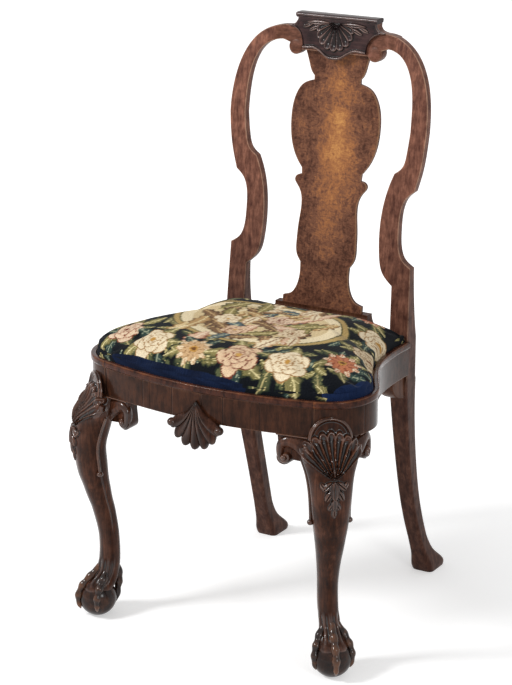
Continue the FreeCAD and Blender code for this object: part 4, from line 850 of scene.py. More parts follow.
def moulding(run, insets, heights):
    """Profile of insets and heights carried along a stretch of the plan; both may change along it."""
    spot, way = run
    inset = np.broadcast_to(insets, (len(spot), np.shape(insets)[-1]))
    flat = spot[:, None] - way[:, None] * inset[..., None]
    return np.concatenate([flat, np.broadcast_to(heights, inset.shape)[..., None]], axis=-1)


DOWN = -math.pi / 2
front_half = joined(front_run(DOWN, FRONT_TURN, 60), corner_run(FRONT_TURN, -LEG_TURN, 14))
side_stretch = joined(corner_run(-LEG_TURN, SIDE_TURN, 44), side_run_points(50))
print("front radius", round(FRONT_RADIUS), "mm, side radius", round(SIDE_RADIUS), "mm")

# %% [markdown]
# ## Lip of the rails
# A rounded lip, cut across the grain, caps the rails and makes the rebate that the seat drops into. It is a
# profile with a rounded nose carried along the plan, in three lengths that meet at the legs' diagonals.

# %% Lips
lip_round = curve([(2.4, LEDGE), (0.5, 460.6), (0.3, 464.6), (0.6, 468.0), (1.5, 469.6),
                   (3.4, SEAT_HEIGHT)], 15)
lip_inside = np.array([(7.0, SEAT_HEIGHT), (9.0, 469.8), (10.0, 469.0), (10.0, 464.0), (10.0, LEDGE),
                       (6.0, LEDGE)])
lip_ring = np.concatenate([lip_round, lip_inside])
lip_front = moulding(across(front_half), lip_ring[:, 0], lip_ring[:, 1])
lip_right = moulding(side_stretch, lip_ring[:, 0], lip_ring[:, 1])
for name, grid in (("front", lip_front), ("right", lip_right), ("left", mirrored(lip_right))):
    add_piece(f"lip_{name}", [capped(grid)], LIP_WALNUT, replaces=[f"seat_lip_{name}"],
              spread=2)

# %% [markdown]
# ## Veneer of the rails
# Below the lip the rail is faced with leaves of walnut veneer whose grain runs up and down, with fine dark
# joints between the leaves. The joints are real grooves in the surface, darkened by the finish as all hollows
# are, with dirt and painted shade, and a shallow wave along the face keeps its reflections from looking
# machine made.

# %% Veneers
VENEER_JOINT = 96.0
JOINT_TURN = -math.acos(VENEER_JOINT / FRONT_RADIUS)
rail_front = across(front_run(DOWN, JOINT_TURN, 150))
rail_side = joined(front_run(JOINT_TURN, FRONT_TURN, 110), corner_run(FRONT_TURN, SIDE_TURN, 130),
                   side_run_points(200))
FACE_INSET, BACK_INSET = 3.0, 4.2
veneer_face = [(FACE_INSET, z) for z in (411.5, 422.0, 434.0, 446.0, 456.5)]
veneer_back = [(BACK_INSET, z) for z in (LEDGE, 434.0, RAIL_BOTTOM)]
veneer_ring = np.array([(3.5, RAIL_BOTTOM), (3.05, 410.5), *veneer_face, (3.2, LEDGE), *veneer_back])


def veneered(run, leaves_mm):
    """Veneer along a stretch: a shallow wave in its face, a groove at each joint, its back on the rail."""
    length = np.concatenate([[0.0], np.cumsum(np.linalg.norm(np.diff(run[0], axis=0), axis=1))])
    joints = np.cumsum(leaves_mm)
    near = np.abs(length[:, None] - joints).min(1)
    groove = 0.5 * np.exp(-(near / 0.9) ** 2) - 0.12 * np.sin(length / 17.0)
    face = (veneer_ring[:, 0] < BACK_INSET) * 1.0
    backing = profile(run[0][:, 1], FULLNESS)[:, None] * (1 - face)
    return capped(moulding(run, veneer_ring[:, 0] + groove[:, None] * face + backing, veneer_ring[:, 1]))


front_veneer = veneered(rail_front, [46.0, 58.0, 40.0])
side_veneer = veneered(rail_side, [0.6, 16.0, 88.0, 95.0, 84.0])
for name, grid in (("front", front_veneer), ("right", side_veneer), ("left", mirrored(side_veneer))):
    add_piece(f"rail_face_{name}", [grid], RAIL_WALNUT, replaces=[f"rail_veneer_{name}"],
              spread=2)

# %% [markdown]
# ## Cabriole front legs
# A cabriole leg swells into a knee, hollows to a slim ankle and stands on a claw gripping a ball. Seen along
# its own diagonal it is an outer and an inner curve and a half width, all functions of height, and a squared
# ellipse carries the section between them. The knee carving is relief on that surface: an arched bead over
# the rail, a palmette that fans up from the knee, and a husk of leaves below it.

# %% Leg surface
# Knots of (height, size): outer and inner curve from the corner's centre, and half of the width across.
OUTER_REACH = [(44, 105), (52, 107.5), (58, 105), (64, 100), (70, 94), (76, 88), (82, 83), (90, 80),
               (103, 78), (118, 77), (135, 77), (150, 78), (167, 81), (184, 85), (203, 90), (222, 97),
               (241, 103), (261, 110), (284, 115), (299, 117.5), (321, 119.5), (343, 118), (351, 116),
               (363, 113), (372, 110), (381, 104), (391, 97), (399, 91.5), (411, 85.5), (421, 82.5),
               (435, 80.5), (446, 78)]
INNER_REACH = [(44, 58), (52, 55), (58, 51), (64, 48), (70, 46), (76, 44.5), (86, 43), (124, 42), (161, 44),
               (199, 48), (217, 52), (236, 55), (255, 58), (291, 61), (319, 62), (343, 56), (380, 48),
               (410, 45)]
HALF_WIDTH = [(44, 23), (52, 25.5), (58, 24), (64, 21.5), (70, 19.2), (76, 17.6), (82, 16.8), (90, 16.6),
              (99, 16.7), (115, 17), (154, 17), (198, 20), (220, 22.5), (241, 25), (282, 30), (316, 33),
              (345, 36.5), (362, 40.5), (374, 44.5), (384, 46), (394, 43), (404, 38.5), (410, 36)]
LAP_RADIUS, LAP_INNER = 36.0, 71.0
LEG_WAY = np.array([math.cos(LEG_TURN), -math.sin(LEG_TURN)])
LEG_ASIDE = np.array([math.sin(LEG_TURN), math.cos(LEG_TURN)])
SHIN_DRIFT = [(44, 0.0), (80, -1.0), (110, -3.0), (200, -4.5), (260, -5.5), (300, -6.5), (360, -6.0),
              (446, -5.5)]
PALMETTE_FOOT = 352.0
HUSK_MIDDLE = [((0, 352), (0, 321), 9.0, 7.4), ((0, 326), (0, 304), 6.4, 5.4), ((0, 309), (0, 290), 3.6, 3.4)]
HUSK_SIDES = [((3, 351), (18, 337), 6.0, 5.2), ((15, 339), (21, 350), 4.2, 4.8),
              ((4, 339), (14, 320), 5.8, 5.6), ((2, 317), (9, 304), 4.0, 4.2)]


def leg_spot(reach, aside, z):
    """Points of the right leg: reach outwards from the corner's centre, place across it, height."""
    flat = np.array([CORNER_X, CORNER_LINE]) + reach[..., None] * LEG_WAY + aside[..., None] * LEG_ASIDE
    return np.concatenate([flat, z[..., None]], axis=-1)


def leg_levels():
    """Heights of the leg's rows: close together over the carving and the ankle."""
    return np.concatenate([np.linspace(44, 150, 90), np.linspace(152, 282, 46), np.linspace(283, 409.8, 170),
                           np.linspace(410.2, 445.9, 60)])


def knee_relief(aside, z):
    """Carving of the knee in millimetres, from the place across and the height."""
    side = np.abs(aside)
    over = np.hypot(aside, np.maximum(z - RAIL_BOTTOM, 0))
    arch = 2.4 * ridge(over - 32.8, 1.7) * smoothstep(z, 396, 410)
    moat = -2.6 * smoothstep(over, 31.8, 28) * smoothstep(z, 372, 392) * smoothstep(z, 444, 438)
    shell = fan(aside, z, (0.0, PALMETTE_FOOT), 1, math.radians(54), 9,
                lambda angle: 75 - 14 * (np.abs(angle) / 0.94) ** 2, 8.0)
    husk = np.maximum(leaves(aside, z, HUSK_MIDDLE), leaves(side, z, HUSK_SIDES))
    return moat + np.maximum.reduce([arch, shell, husk])


def front_leg():
    """Squared ellipses of power 2.4 up the leg, then the lap over the rail, with relief along normals."""
    z = leg_levels()
    lapped = z > RAIL_BOTTOM
    outer = profile(z, OUTER_REACH)
    inner = np.where(lapped, LAP_INNER, profile(z, INNER_REACH))
    arch = LAP_RADIUS * np.sqrt(np.maximum(1 - ((z - RAIL_BOTTOM) / LAP_RADIUS) ** 2, 0))
    half = np.where(lapped, arch, profile(z, HALF_WIDTH))
    turn = np.concatenate([np.linspace(-100, 100, 180), np.linspace(103, 257, 60)]) * math.pi / 180
    along = np.sign(np.cos(turn)) * np.abs(np.cos(turn)) ** (2 / 2.4)
    aside = np.sign(np.sin(turn)) * np.abs(np.sin(turn)) ** (2 / 2.4)
    reach = ((outer + inner) / 2)[:, None] + ((outer - inner) / 2)[:, None] * along
    place = half[:, None] * aside
    level = np.broadcast_to(z[:, None], reach.shape)
    plain = leg_spot(reach, place + profile(z, SHIN_DRIFT)[:, None], level)
    facing = smoothstep(np.cos(turn), 0.02, 0.25)
    carving = knee_relief(place, level) * facing * smoothstep(level, 284, 292)
    ankle = smoothstep(level, 112, 90) * smoothstep(level, 58, 72)
    tendons = 2.6 * (np.cos(turn * 4.9) ** 2 - 0.5) * ankle * smoothstep(np.abs(turn), 2.4, 1.9)
    behind = np.abs((turn + math.pi) % (2 * math.pi) - math.pi)
    panel = -1.8 * smoothstep(behind, 1.72, 1.84) * smoothstep(level, 150, 190) * smoothstep(level, 405, 390)
    return capped(plain + grid_normals(plain) * (carving + tendons + panel)[..., None])


leg = front_leg()
print("leg:", leg.shape[0], "rows of", leg.shape[1], "points")

# %% [markdown]
# ## Claw and ball
# Four toes come down from the ankle and grip a ball. Each toe is a tapering tube bent over the ball in an
# upright plane, thick at its three knuckles and pointed at the talon. The ball is turned, and stands on a
# small flat.

# %% Claws and ball
BALL_REACH, BALL_CENTRE, BALL_RADIUS = 82.0, 32.0, 32.6
FRONT_TOE = [(-6, 0, 92, 4.6), (0, 0, 84, 5.6), (6, 0, 77, 6.2), (13, 0, 70.5, 7.4), (20, 0, 63.5, 5.8),
             (26, 0, 56.5, 7.4), (30.8, 0, 48, 5.4), (33.4, 0, 39.5, 7.2), (34.2, 0, 31, 5.0),
             (33.2, 0, 22, 4.4), (30.6, 0, 13.5, 0.9)]
SIDE_TOE = [(-14, 9.5, 92, 4.6), (-12, 12, 84, 5.4), (-9, 16, 76.5, 6.2), (-5, 20.4, 69.5, 7.4),
            (0, 24, 62.5, 5.8), (4, 27.2, 56, 7.2), (7, 29.6, 48.5, 5.2), (9, 30.8, 41, 6.8),
            (9.6, 31.2, 33.5, 4.8), (9.2, 30.6, 25, 4.4), (8.4, 28.4, 16, 0.9)]
REAR_TOE = [(-33, 0, 92, 5.2), (-36, 0, 82, 6.4), (-38, 0, 73, 7.4), (-38.5, 0, 64, 6.0), (-37.6, 0, 55, 7.4),
            (-36, 0, 45, 5.6), (-34.6, 0, 36, 6.6), (-32.8, 0, 26, 4.4), (-30, 0, 16, 0.9)]


def tube(path, radius, count=24):
    """Round section carried along a path, square to it, closed at both ends."""
    way = np.gradient(path, axis=0)
    way /= np.linalg.norm(way, axis=1, keepdims=True)
    aside = np.cross(way, np.array([0.31, 0.47, 0.12]))
    aside /= np.linalg.norm(aside, axis=1, keepdims=True)
    out = np.cross(aside, way)
    turn = np.linspace(0, 2 * math.pi, count + 1)[:-1]
    ring = np.cos(turn)[None, :, None] * out[:, None] + np.sin(turn)[None, :, None] * aside[:, None]
    return capped(path[:, None] + radius[:, None, None] * ring)


def toe(knots, flip=1):
    """One toe through knots of reach from the ball's middle, place across, height and thickness."""
    line = curve(knots, 70)
    return tube(leg_spot(BALL_REACH + line[:, 0], flip * line[:, 1], line[:, 2]), np.maximum(line[:, 3], 0.6))


def ball():
    """Sphere by two angles, cut flat at the floor."""
    up, turn = np.linspace(-math.pi / 2, math.pi / 2, 40), np.linspace(0, 2 * math.pi, 65)[:-1]
    flat = np.cos(up)[:, None] * BALL_RADIUS
    z = np.maximum(BALL_CENTRE + BALL_RADIUS * np.sin(up), 0.0)
    level = np.broadcast_to(z[:, None], (len(up), len(turn)))
    return leg_spot(BALL_REACH + flat * np.cos(turn), flat * np.sin(turn), level)


foot = [ball(), toe(FRONT_TOE), toe(SIDE_TOE), toe(SIDE_TOE, -1), toe(REAR_TOE)]
FOOT_WEAR = [0.08, 0.2, 0.05, 0.05, 0.0]
print("foot:", len(foot), "grids, one for the ball and one for each toe")

# %% [markdown]
# ## Scrolled edges of the legs
# A bead runs down each side of the leg and ends in a small scroll, and a rolled leaf edge with pearls frames
# the palmette. Beads and rolls are round tubes along paths that follow the leg's own curves, and pearls and
# scrolls are flattened balls.

# %% Scrolled edges of the legs
def knob(centre, radius):
    """Small flattened ball."""
    up, turn = np.linspace(-math.pi / 2, math.pi / 2, 16), np.linspace(0, 2 * math.pi, 25)[:-1]
    flat = np.cos(up)[:, None] * radius
    return np.stack([centre[0] + flat * np.cos(turn), centre[1] + flat * np.sin(turn),
                     np.broadcast_to(centre[2] + 0.9 * radius * np.sin(up)[:, None], (16, 24))], -1)


def edge_bead(sign):
    """Raised bead down a side of the leg, from the ear to a small round scroll at its end."""
    z = np.linspace(376, 275, 60)
    outer, inner = profile(z, OUTER_REACH), profile(z, INNER_REACH)
    share = np.linspace(0, 1, 60)
    out = 0.6 + 2.0 * share ** 8
    path = leg_spot(inner + (outer - inner) * 0.42,
                    sign * (profile(z, HALF_WIDTH) + out) + profile(z, SHIN_DRIFT), z)
    return [tube(path, 1.9 + 0.6 * share), knob(path[-1] + np.array([0.0, 0.0, -3.0]), 5.6)]


# Knots of (place across, height, reach, radius).
LEAF_EDGE = [(47, 399, 79, 4.0), (44, 390, 82, 5.4), (38.5, 379, 88, 5.6), (32, 368.5, 95, 5.0),
             (25, 359.5, 102, 4.2), (17.5, 352, 108.5, 3.4), (10, 347, 112.5, 2.4)]
PEARLS = [(41, 399.5, 84, 3.4), (37.5, 392, 88, 3.2), (33, 384, 94, 3.0), (28, 376.5, 99.5, 2.7)]
PEARL_DRIFT = 6.0


def leaf_edge(sign):
    """Rolled edge of the carving beside the palmette, with a few pearls inside it."""
    line = curve(LEAF_EDGE, 60)
    drift = profile(line[:, 1], SHIN_DRIFT)
    roll = tube(leg_spot(line[:, 2], sign * line[:, 0] + drift, line[:, 1]), line[:, 3])
    pearls = np.array(PEARLS)
    spots = leg_spot(pearls[:, 2], sign * pearls[:, 0] - PEARL_DRIFT, pearls[:, 1])
    return [roll] + [knob(spot, radius) for spot, radius in zip(spots, pearls[:, 3])]


beads = edge_bead(1) + edge_bead(-1) + leaf_edge(1) + leaf_edge(-1)
for side, flip in (("right", lambda grid: grid), ("left", mirrored)):
    add_piece(f"leg_{side}", [flip(leg)], CARVED_WALNUT, replaces=[f"front_leg_{side}"],
              spread=2)
    add_piece(f"claw_foot_{side}", [flip(grid) for grid in foot], CLAW_WALNUT, spread=2,
              rubbed=FOOT_WEAR)
    add_piece(f"leg_scrolls_{side}", [flip(grid) for grid in beads], CARVED_WALNUT)

# %% [markdown]
# ## Ears beside the knees
# A scrolled ear fills the angle between the knee and the rail on each side. A block with a hollow outline is
# sawn first, and a thick band carved on its face leaves the knee, turns over and curls into an eye. The block
# is its outline shrunk row by row, the band is a section carried along a spiral, and both are laid along the
# rail's curved face.

# %% Ears
EAR_TOP, EAR_FOOT, EAR_SCROLL, EAR_DEPTH, EAR_LENGTH = RAIL_BOTTOM, 357.0, 12.0, 32.0, 56.0
EAR_BAND = [(62, 380, 17.0, 8.0, 15.0), (48, 388, 15.0, 7.0, 13.0), (34, 394.5, 12.8, 7.0, 11.0),
            (20, 397, 11.0, 7.5, 10.0), (10, 392.5, 9.0, 8.0, 10.0), (6.6, 382, 7.2, 8.0, 10.0),
            (8.4, 371.5, 6.2, 7.6, 9.8), (14.5, 365, 5.6, 7.2, 9.6), (20.5, 367, 5.0, 7.0, 9.6),
            (21.5, 373.5, 4.2, 6.8, 9.6), (16.5, 376, 3.4, 6.5, 9.6), (14.0, 372.2, 2.8, 6.0, 9.6)]
plan_all = joined(front_run(DOWN, FRONT_TURN, 400), corner_run(FRONT_TURN, SIDE_TURN, 400),
                  side_run_points(300))
FACE = plan_all[0] - plan_all[1] * FACE_INSET
FRONT_POINTS = 700


def ear_outline(length):
    """Closed outline in (distance from the free end, height): hollow end, round scroll, lower edge, top."""
    turn = np.radians(np.linspace(180, 330, 40))
    eye = np.array([EAR_SCROLL, EAR_FOOT + EAR_SCROLL])
    rim = eye + EAR_SCROLL * np.stack([np.cos(turn), np.sin(turn)], 1)
    end = curve([(1.6, EAR_TOP), (2.6, 396.0), (1.0, 380.0), rim[0]], 24)
    under = curve([rim[-1], (length * 0.62, 372.0), (length * 0.8, 372.0), (length, 364.0)], 24)
    return np.concatenate([end, rim[1:], under[1:], straight((length, 366), (length, EAR_TOP), 16)[1:],
                           straight((length, EAR_TOP), (1.6, EAR_TOP), 24)[1:-1]]), eye


def ear_block(length, place):
    """Block behind the scroll: the outline shrunk to the volute's eye, in front and behind, edges eased."""
    rim, eye = ear_outline(length)
    rows = [(0.0, 4.0), (0.5, 4.0), (0.95, 4.0), (0.985, 4.8), (1.0, 6.5), (1.0, 14.0),
            (1.0, EAR_DEPTH - 2.0), (0.97, EAR_DEPTH), (0.0, EAR_DEPTH)]
    return button(rim, rows, eye, place)


def ear_band(length, place):
    """Thick band that leaves the knee, turns over under the rail and curls into an eye: an ellipse carried
    along a spiral, its width across the spiral and its depth through the rail."""
    line = curve(np.array(EAR_BAND) * np.array([length / EAR_LENGTH, 1, 1, 1, 1]), 150)
    way = np.gradient(line[:, :2], axis=0)
    way /= np.linalg.norm(way, axis=1, keepdims=True)
    across_way = np.stack([-way[:, 1], way[:, 0]], 1)
    turn = np.linspace(0, 2 * math.pi, 41)[:-1]
    spot = line[:, None, :2] + line[:, None, 2:3] * np.cos(turn)[None, :, None] * across_way[:, None]
    deep = line[:, 3:4] + line[:, 4:5] * np.sin(turn)
    return capped(place(spot[..., 0], np.minimum(spot[..., 1], EAR_TOP - 0.2), deep))


def ear_eye(length, place):
    """Round boss in the middle of the volute."""
    return knob(place(np.array(15.0 * length / EAR_LENGTH), np.array(371.5), np.array(-1.6)), 5.2)


def ear_fillet(length, place):
    """Fine bead along the joint under the rail."""
    away = np.linspace(length, 2.0, 40)
    path = place(away, np.full(40, EAR_TOP - 0.6), -0.4 - 5.0 * (away / length) ** 2)
    return tube(path, np.full(40, 1.0), 12)


def on_front(away, z, depth, start=138.0):
    """Front ear: distance along x from its free end, on the rail's face."""
    x = start + away
    y = np.interp(x, FACE[:FRONT_POINTS, 0], FACE[:FRONT_POINTS, 1])
    return np.stack([x, y + depth, z], -1)


def on_short_front(away, z, depth):
    """The left leg's front ear is a little shorter."""
    return on_front(away, z, depth, 147.0)


def on_side(away, z, depth):
    """Side ear: distance along y from its free end, tucked under the side rail."""
    y = -136.0 - away
    order = np.argsort(FACE[:, 1])
    x = np.interp(y, FACE[order, 1], FACE[order, 0]) - 0.8 * profile(y, FULLNESS)
    return np.stack([x - depth, y, z], -1)


EARS = [("front_right", on_front, EAR_LENGTH, 1), ("front_left", on_short_front, 47.0, -1),
        ("side_right", on_side, 46.0, 1), ("side_left", on_side, 46.0, -1)]
for name, place, length, flip in EARS:
    eyes = [ear_eye] if name.startswith("front") else []
    parts = [part(length, place) for part in (ear_block, ear_band, ear_fillet, *eyes)]
    add_piece(f"ear_{name}", [grid * np.array([flip, 1, 1]) for grid in parts], CARVED_WALNUT,
              replaces=[f"knee_ear_{name}"], spread=2)

# %% [markdown]
# ## Shell on the front rail
# A scallop shell hangs from the middle of the front rail, its ribs spreading down from a narrow hinge, with
# a small round scroll at each wing. In polar coordinates about the hinge it is a grid of angle and radius;
# ribs and the crown of its face set how far it stands forward.

# %% Rail shell
SHELL_HINGE = np.array([0.0, 445.0])
SHELL_WING = math.atan2(50.0, 40.0)


def rail_shell():
    """Ring for each angle: out along the ribbed face, over the lobed rim and back behind. The fan is narrow
    at its hinge and spreads by a power of the radius."""
    angle = np.linspace(-SHELL_WING, SHELL_WING, 220)[:, None]
    rib = ribs(angle, 7, SHELL_WING, 0.6)
    full = 82 - 20 * (np.abs(angle) / SHELL_WING) ** 2
    reach = full * (0.87 + 0.13 * rib)
    share = np.concatenate([np.linspace(0.0, 0.94, 50), [0.97, 0.99, 1.0, 1.0, 0.97],
                            np.linspace(0.9, 0.0, 8)])
    face_steps = 52
    on_face = np.arange(len(share)) < face_steps
    crown = 4.0 + 9.0 * np.sin(math.pi * np.clip(share, 0, 1) ** 0.8 * 0.78)
    relief = 3.2 * (rib - 0.7) * smoothstep(share, 0.05, 0.4)
    y_face = SEAT_FRONT + FACE_INSET - (crown + relief) * (1 - 0.2 * (np.abs(angle) / SHELL_WING) ** 2)
    y = np.where(on_face, y_face, SEAT_FRONT + 12.0)
    y[:, face_steps:face_steps + 3] = y_face[:, face_steps - 1:face_steps] + np.array([1.6, 4.0, 9.0])
    spread = angle * (0.5 + 0.5 * share ** 1.6)
    x = SHELL_HINGE[0] + reach * share * np.sin(spread)
    z = SHELL_HINGE[1] - reach * share * np.cos(spread)
    return capped(np.stack([x, y, z], -1))


shell_knobs = [knob(np.array([sign * 45.0, SEAT_FRONT - 3.0, 402.0]), 8.0) for sign in (-1, 1)]
add_piece("rail_shell", [rail_shell()], SHELL_WALNUT, replaces=["front_rail_shell"])
add_piece("rail_shell_scrolls", shell_knobs, SHELL_WALNUT)

# %% [markdown]
# ## Brackets at the back
# A small quarter-round bracket steadies each rear post under the side rail. Its outline, seen from the side,
# is carried across the thickness and shrunk a little at both faces, which eases the edges.

# %% Rear brackets
BRACKET_BACK, BRACKET_RUN, BRACKET_DROP = 124.0, 50.0, 44.0
BRACKET_ROWS = [(0.0, 150.0), (0.6, 150.0), (0.93, 150.2), (0.985, 151.2), (1.0, 153.0), (1.0, 175.0),
                (0.985, 177.0), (0.93, 178.2), (0.6, 178.4), (0.0, 178.4)]


def rear_bracket():
    """Quarter ellipse from the rail to the post, closed along both, in rows of (share of the outline, place
    across)."""
    turn = np.radians(np.linspace(0, 90, 30))
    corner = np.array([BRACKET_BACK, RAIL_BOTTOM + 0.3])
    quarter = corner - np.stack([BRACKET_RUN * np.cos(turn), BRACKET_DROP * np.sin(turn)], 1)
    rim = np.concatenate([quarter, straight(quarter[-1], corner, 12)[1:],
                          straight(corner, quarter[0], 16)[1:-1]])
    return button(rim, BRACKET_ROWS, rim.mean(0), lambda y, z, x: np.stack([np.full_like(y, x), y, z], -1))


bracket = rear_bracket()
for side, grid in (("right", bracket), ("left", mirrored(bracket))):
    add_piece(f"bracket_{side}", [grid], LEG_WALNUT, replaces=[f"rear_bracket_{side}"],
              spread=2)

# %% [markdown]
# ## Padded drop-in seat
# The seat is hair stuffing pulled tight under a woven wool tapestry, crowned in the middle, rounded at the
# shoulders and tacked under its frame. The cover is one patch: a Coons patch blends the four edges of the
# plan, a product of two rounded profiles raises the dome, and the outer cells turn down as the wall.

# %% Cover patch
SEAT_INSET, SEAT_REAR = 11.0, 120.0
COVER_FOOT, COVER_EDGE, COVER_TOP = 459.2, 478.0, 514.0
WALL = 0.1


def even(points, count):
    """Points at even steps along a polyline."""
    along = np.concatenate([[0.0], np.cumsum(np.linalg.norm(np.diff(points, axis=0), axis=1))])
    at = np.linspace(0, along[-1], count)
    return np.stack([np.interp(at, along, points[:, k]) for k in range(2)], axis=1)


def seat_edges(inset):
    """Front, right, rear and left edge of the seat's plan at an inset, the corners at the legs' diagonals."""
    front = across(joined(front_run(DOWN, FRONT_TURN, 60), corner_run(FRONT_TURN, -LEG_TURN, 20)))
    side = joined(corner_run(-LEG_TURN, SIDE_TURN, 60), side_run_points(80))
    front, right = (run[0] - run[1] * inset for run in (front, side))
    right = np.concatenate([right[right[:, 1] < SEAT_REAR], [(right[-1, 0], SEAT_REAR)]])
    left = right * np.array([-1, 1])
    return front, right, straight(left[-1], right[-1], 60), left


def coons(u, v, inset):
    """Coons patch at u and v from 0 to 1: the ruled surfaces of opposite edges less the corners' own."""
    front, right, rear, left = (even(edge, 400) for edge in seat_edges(inset))
    grid = np.linspace(0, 1, 400)

    def at(edge, place):
        """Point of an edge at a place from 0 to 1, by straight steps."""
        return np.stack([np.interp(place, grid, edge[:, k]) for k in range(2)], axis=-1)

    u1, v1 = u[..., None], v[..., None]
    ruled = (1 - v1) * at(front, u) + v1 * at(rear, u) + (1 - u1) * at(left, v) + u1 * at(right, v)
    corners = ((1 - u1) * (1 - v1) * front[0] + u1 * (1 - v1) * front[-1]
               + (1 - u1) * v1 * rear[0] + u1 * v1 * rear[-1])
    return ruled - corners


def cover_patch(columns, rows):
    """Grid of the cover with its cloth coordinates: dome inside, wall in the outer cells."""
    s, t = np.meshgrid(np.linspace(-1, 1, columns), np.linspace(-1, 1, rows))
    m = np.maximum(np.abs(s), np.abs(t))
    inside = np.minimum(1 / (1 - WALL), 1 / np.maximum(m, 1e-6))
    a, b = (np.sin(math.pi / 2 * np.clip(p * inside, -1, 1)) for p in (s, t))
    flat = coons((a + 1) / 2, (b + 1) / 2, SEAT_INSET)
    side = np.abs(a)
    dome = ((1 - side ** 5.5) * (1 - np.abs(b) ** 4.5)) ** (1 / 2.6)
    plump_sides = smoothstep(side, 0.2, 0.65) * (1 - side ** 6) * smoothstep(b, -0.5, 0.3) * (1 - b ** 4)
    low_corners = smoothstep(side, 0.45, 0.85) * (1 - side ** 8) * smoothstep(-b, 0.2, 0.7) * (1 - b ** 8)
    dome = dome + 0.12 * plump_sides - 0.14 * low_corners
    down = np.clip((m - 1 + WALL) / WALL, 0, 1)
    edge = COVER_EDGE - 4.0 * smoothstep(b, 0.4, 1.0)
    z = edge + (COVER_TOP - COVER_EDGE) * dome - (edge - COVER_FOOT) * down
    middle = np.array([0.0, (SEAT_FRONT + SEAT_REAR) / 2])
    cloth = middle + (flat - middle) * (1 + 0.12 * down[..., None])
    return np.concatenate([flat, z[..., None]], -1), cloth, m


print("seat at the back:", 2 * (SEAT_REAR_HALF - SEAT_INSET), "mm wide")

# %% [markdown]
# ## Let the cover swell
# Stuffing presses a tight cover outwards, more where the cloth is far from its tacks. Drawn by hand that is
# stiff, so a coarse copy of the patch is blown up a little by the cloth solver with its wall held, and its
# moves, capped at 7 mm, are spread over the fine grid by splines.

# %% Let the cover swell
SWELL_CAP = 7.0


def swollen(grid, m):
    """Moves of the cover after 20 frames of cloth with pressure 4 and no gravity, its wall held, capped."""
    rows, columns = m.shape
    mesh = bpy.data.meshes.new("cover_trial")
    mesh.from_pydata((grid.reshape(-1, 3) * MM).tolist(), [], grid_faces(rows, columns, False).tolist())
    trial = add_object("cover_trial", mesh)
    held = trial.vertex_groups.new(name="held")
    held.add(np.flatnonzero(m.ravel() > 1 - WALL * 0.75).tolist(), 1.0, "REPLACE")
    cloth = trial.modifiers.new("swell", "CLOTH")
    cloth.settings.quality = 6
    cloth.settings.use_pressure = True
    cloth.settings.uniform_pressure_force = 4.0
    cloth.settings.tension_stiffness = cloth.settings.compression_stiffness = 25.0
    cloth.settings.bending_stiffness = 2.0
    cloth.settings.vertex_group_mass = "held"
    cloth.settings.effector_weights.gravity = 0.0
    for number in range(1, 21):
        bpy.context.scene.frame_set(number)
    settled = trial.evaluated_get(bpy.context.evaluated_depsgraph_get()).to_mesh()
    after = np.zeros(rows * columns * 3)
    settled.vertices.foreach_get("co", after)
    bpy.context.scene.frame_set(1)
    bpy.data.objects.remove(trial)
    move = after.reshape(grid.shape) / MM - grid
    size = np.linalg.norm(move, axis=-1, keepdims=True)
    return move * np.minimum(1, SWELL_CAP / np.maximum(size, 1e-9))


def refined(values, rows, columns):
    """Values of a coarse grid on a finer one, by splines down it and then across."""
    r, c, k = values.shape
    tall = natural_spline(np.linspace(0, r - 1, rows), np.arange(r), values.reshape(r, -1))
    tall = tall.reshape(rows, c, k)
    wide = natural_spline(np.linspace(0, c - 1, columns), np.arange(c), tall.swapaxes(0, 1).reshape(c, -1))
    return wide.reshape(columns, rows, k).swapaxes(0, 1)


COVER_COLUMNS, COVER_ROWS = 300, 236
cover, cloth_place, _ = cover_patch(COVER_COLUMNS, COVER_ROWS)
coarse, _, coarse_m = cover_patch(76, 60)
cover = cover + refined(swollen(coarse, coarse_m), COVER_ROWS, COVER_COLUMNS)
print("cover crown", round(float(cover[..., 2].max()), 1), "mm")

# %% [markdown]
# ## The tapestry
# Wool on a dark ground: cream and rose flowers with gold hearts, olive leaves, and a navy edge. Each point of
# the fine grid takes one colour, as each stitch does, painted in layers from the ground up: leaves, then
# blooms whose petals are round lobes set in rings. The layout is a ring of blooms round a pale oval filled
# with curled leaves.

# %% Tapestry painting
class Wool:
    """Colours on the cloth's points, painted over one another."""

    def __init__(self, x, y):
        self.x, self.y = x, y
        self.rgb = np.zeros((*x.shape, 3))

    def paint(self, mask, code):
        """Covers the masked points with a colour."""
        share = np.clip(mask, 0, 1)[..., None]
        self.rgb = self.rgb * (1 - share) + linear(code) * share

    def near(self, centre, turn=0.0):
        """Places along and across a direction from a point."""
        dx, dy = self.x - centre[0], self.y - centre[1]
        return dx * math.cos(turn) + dy * math.sin(turn), dy * math.cos(turn) - dx * math.sin(turn)


def tapestry_leaf(wool, base, turn, length, codes, curl=0.0, width=0.27):
    """Toothed leaf with a pale rib: half width a power of a sine, notched by a fast wave; curl bends it."""
    along, off = (part / length for part in wool.near(base, turn))
    off = off - curl * along ** 2
    side, off = np.sign(off), np.abs(off)
    half = width * np.sin(math.pi * np.clip(along, 0, 1)) ** 0.8 * (1 + 0.18 * np.cos(along * 28))
    inside = (off < half) & (along > 0) & (along < 1)
    wool.paint(inside, codes[0])
    wool.paint(inside * smoothstep(off / np.maximum(half, 1e-3), 0.35, 1.0) * (0.5 + 0.5 * side), codes[1])
    wool.paint(inside & (off > half * 0.8), codes[1])
    veins = (np.abs(np.sin((along - off) * 15)) < 0.13) & (off < half * 0.7)
    wool.paint(inside & ((off < 0.02) | veins), codes[2])


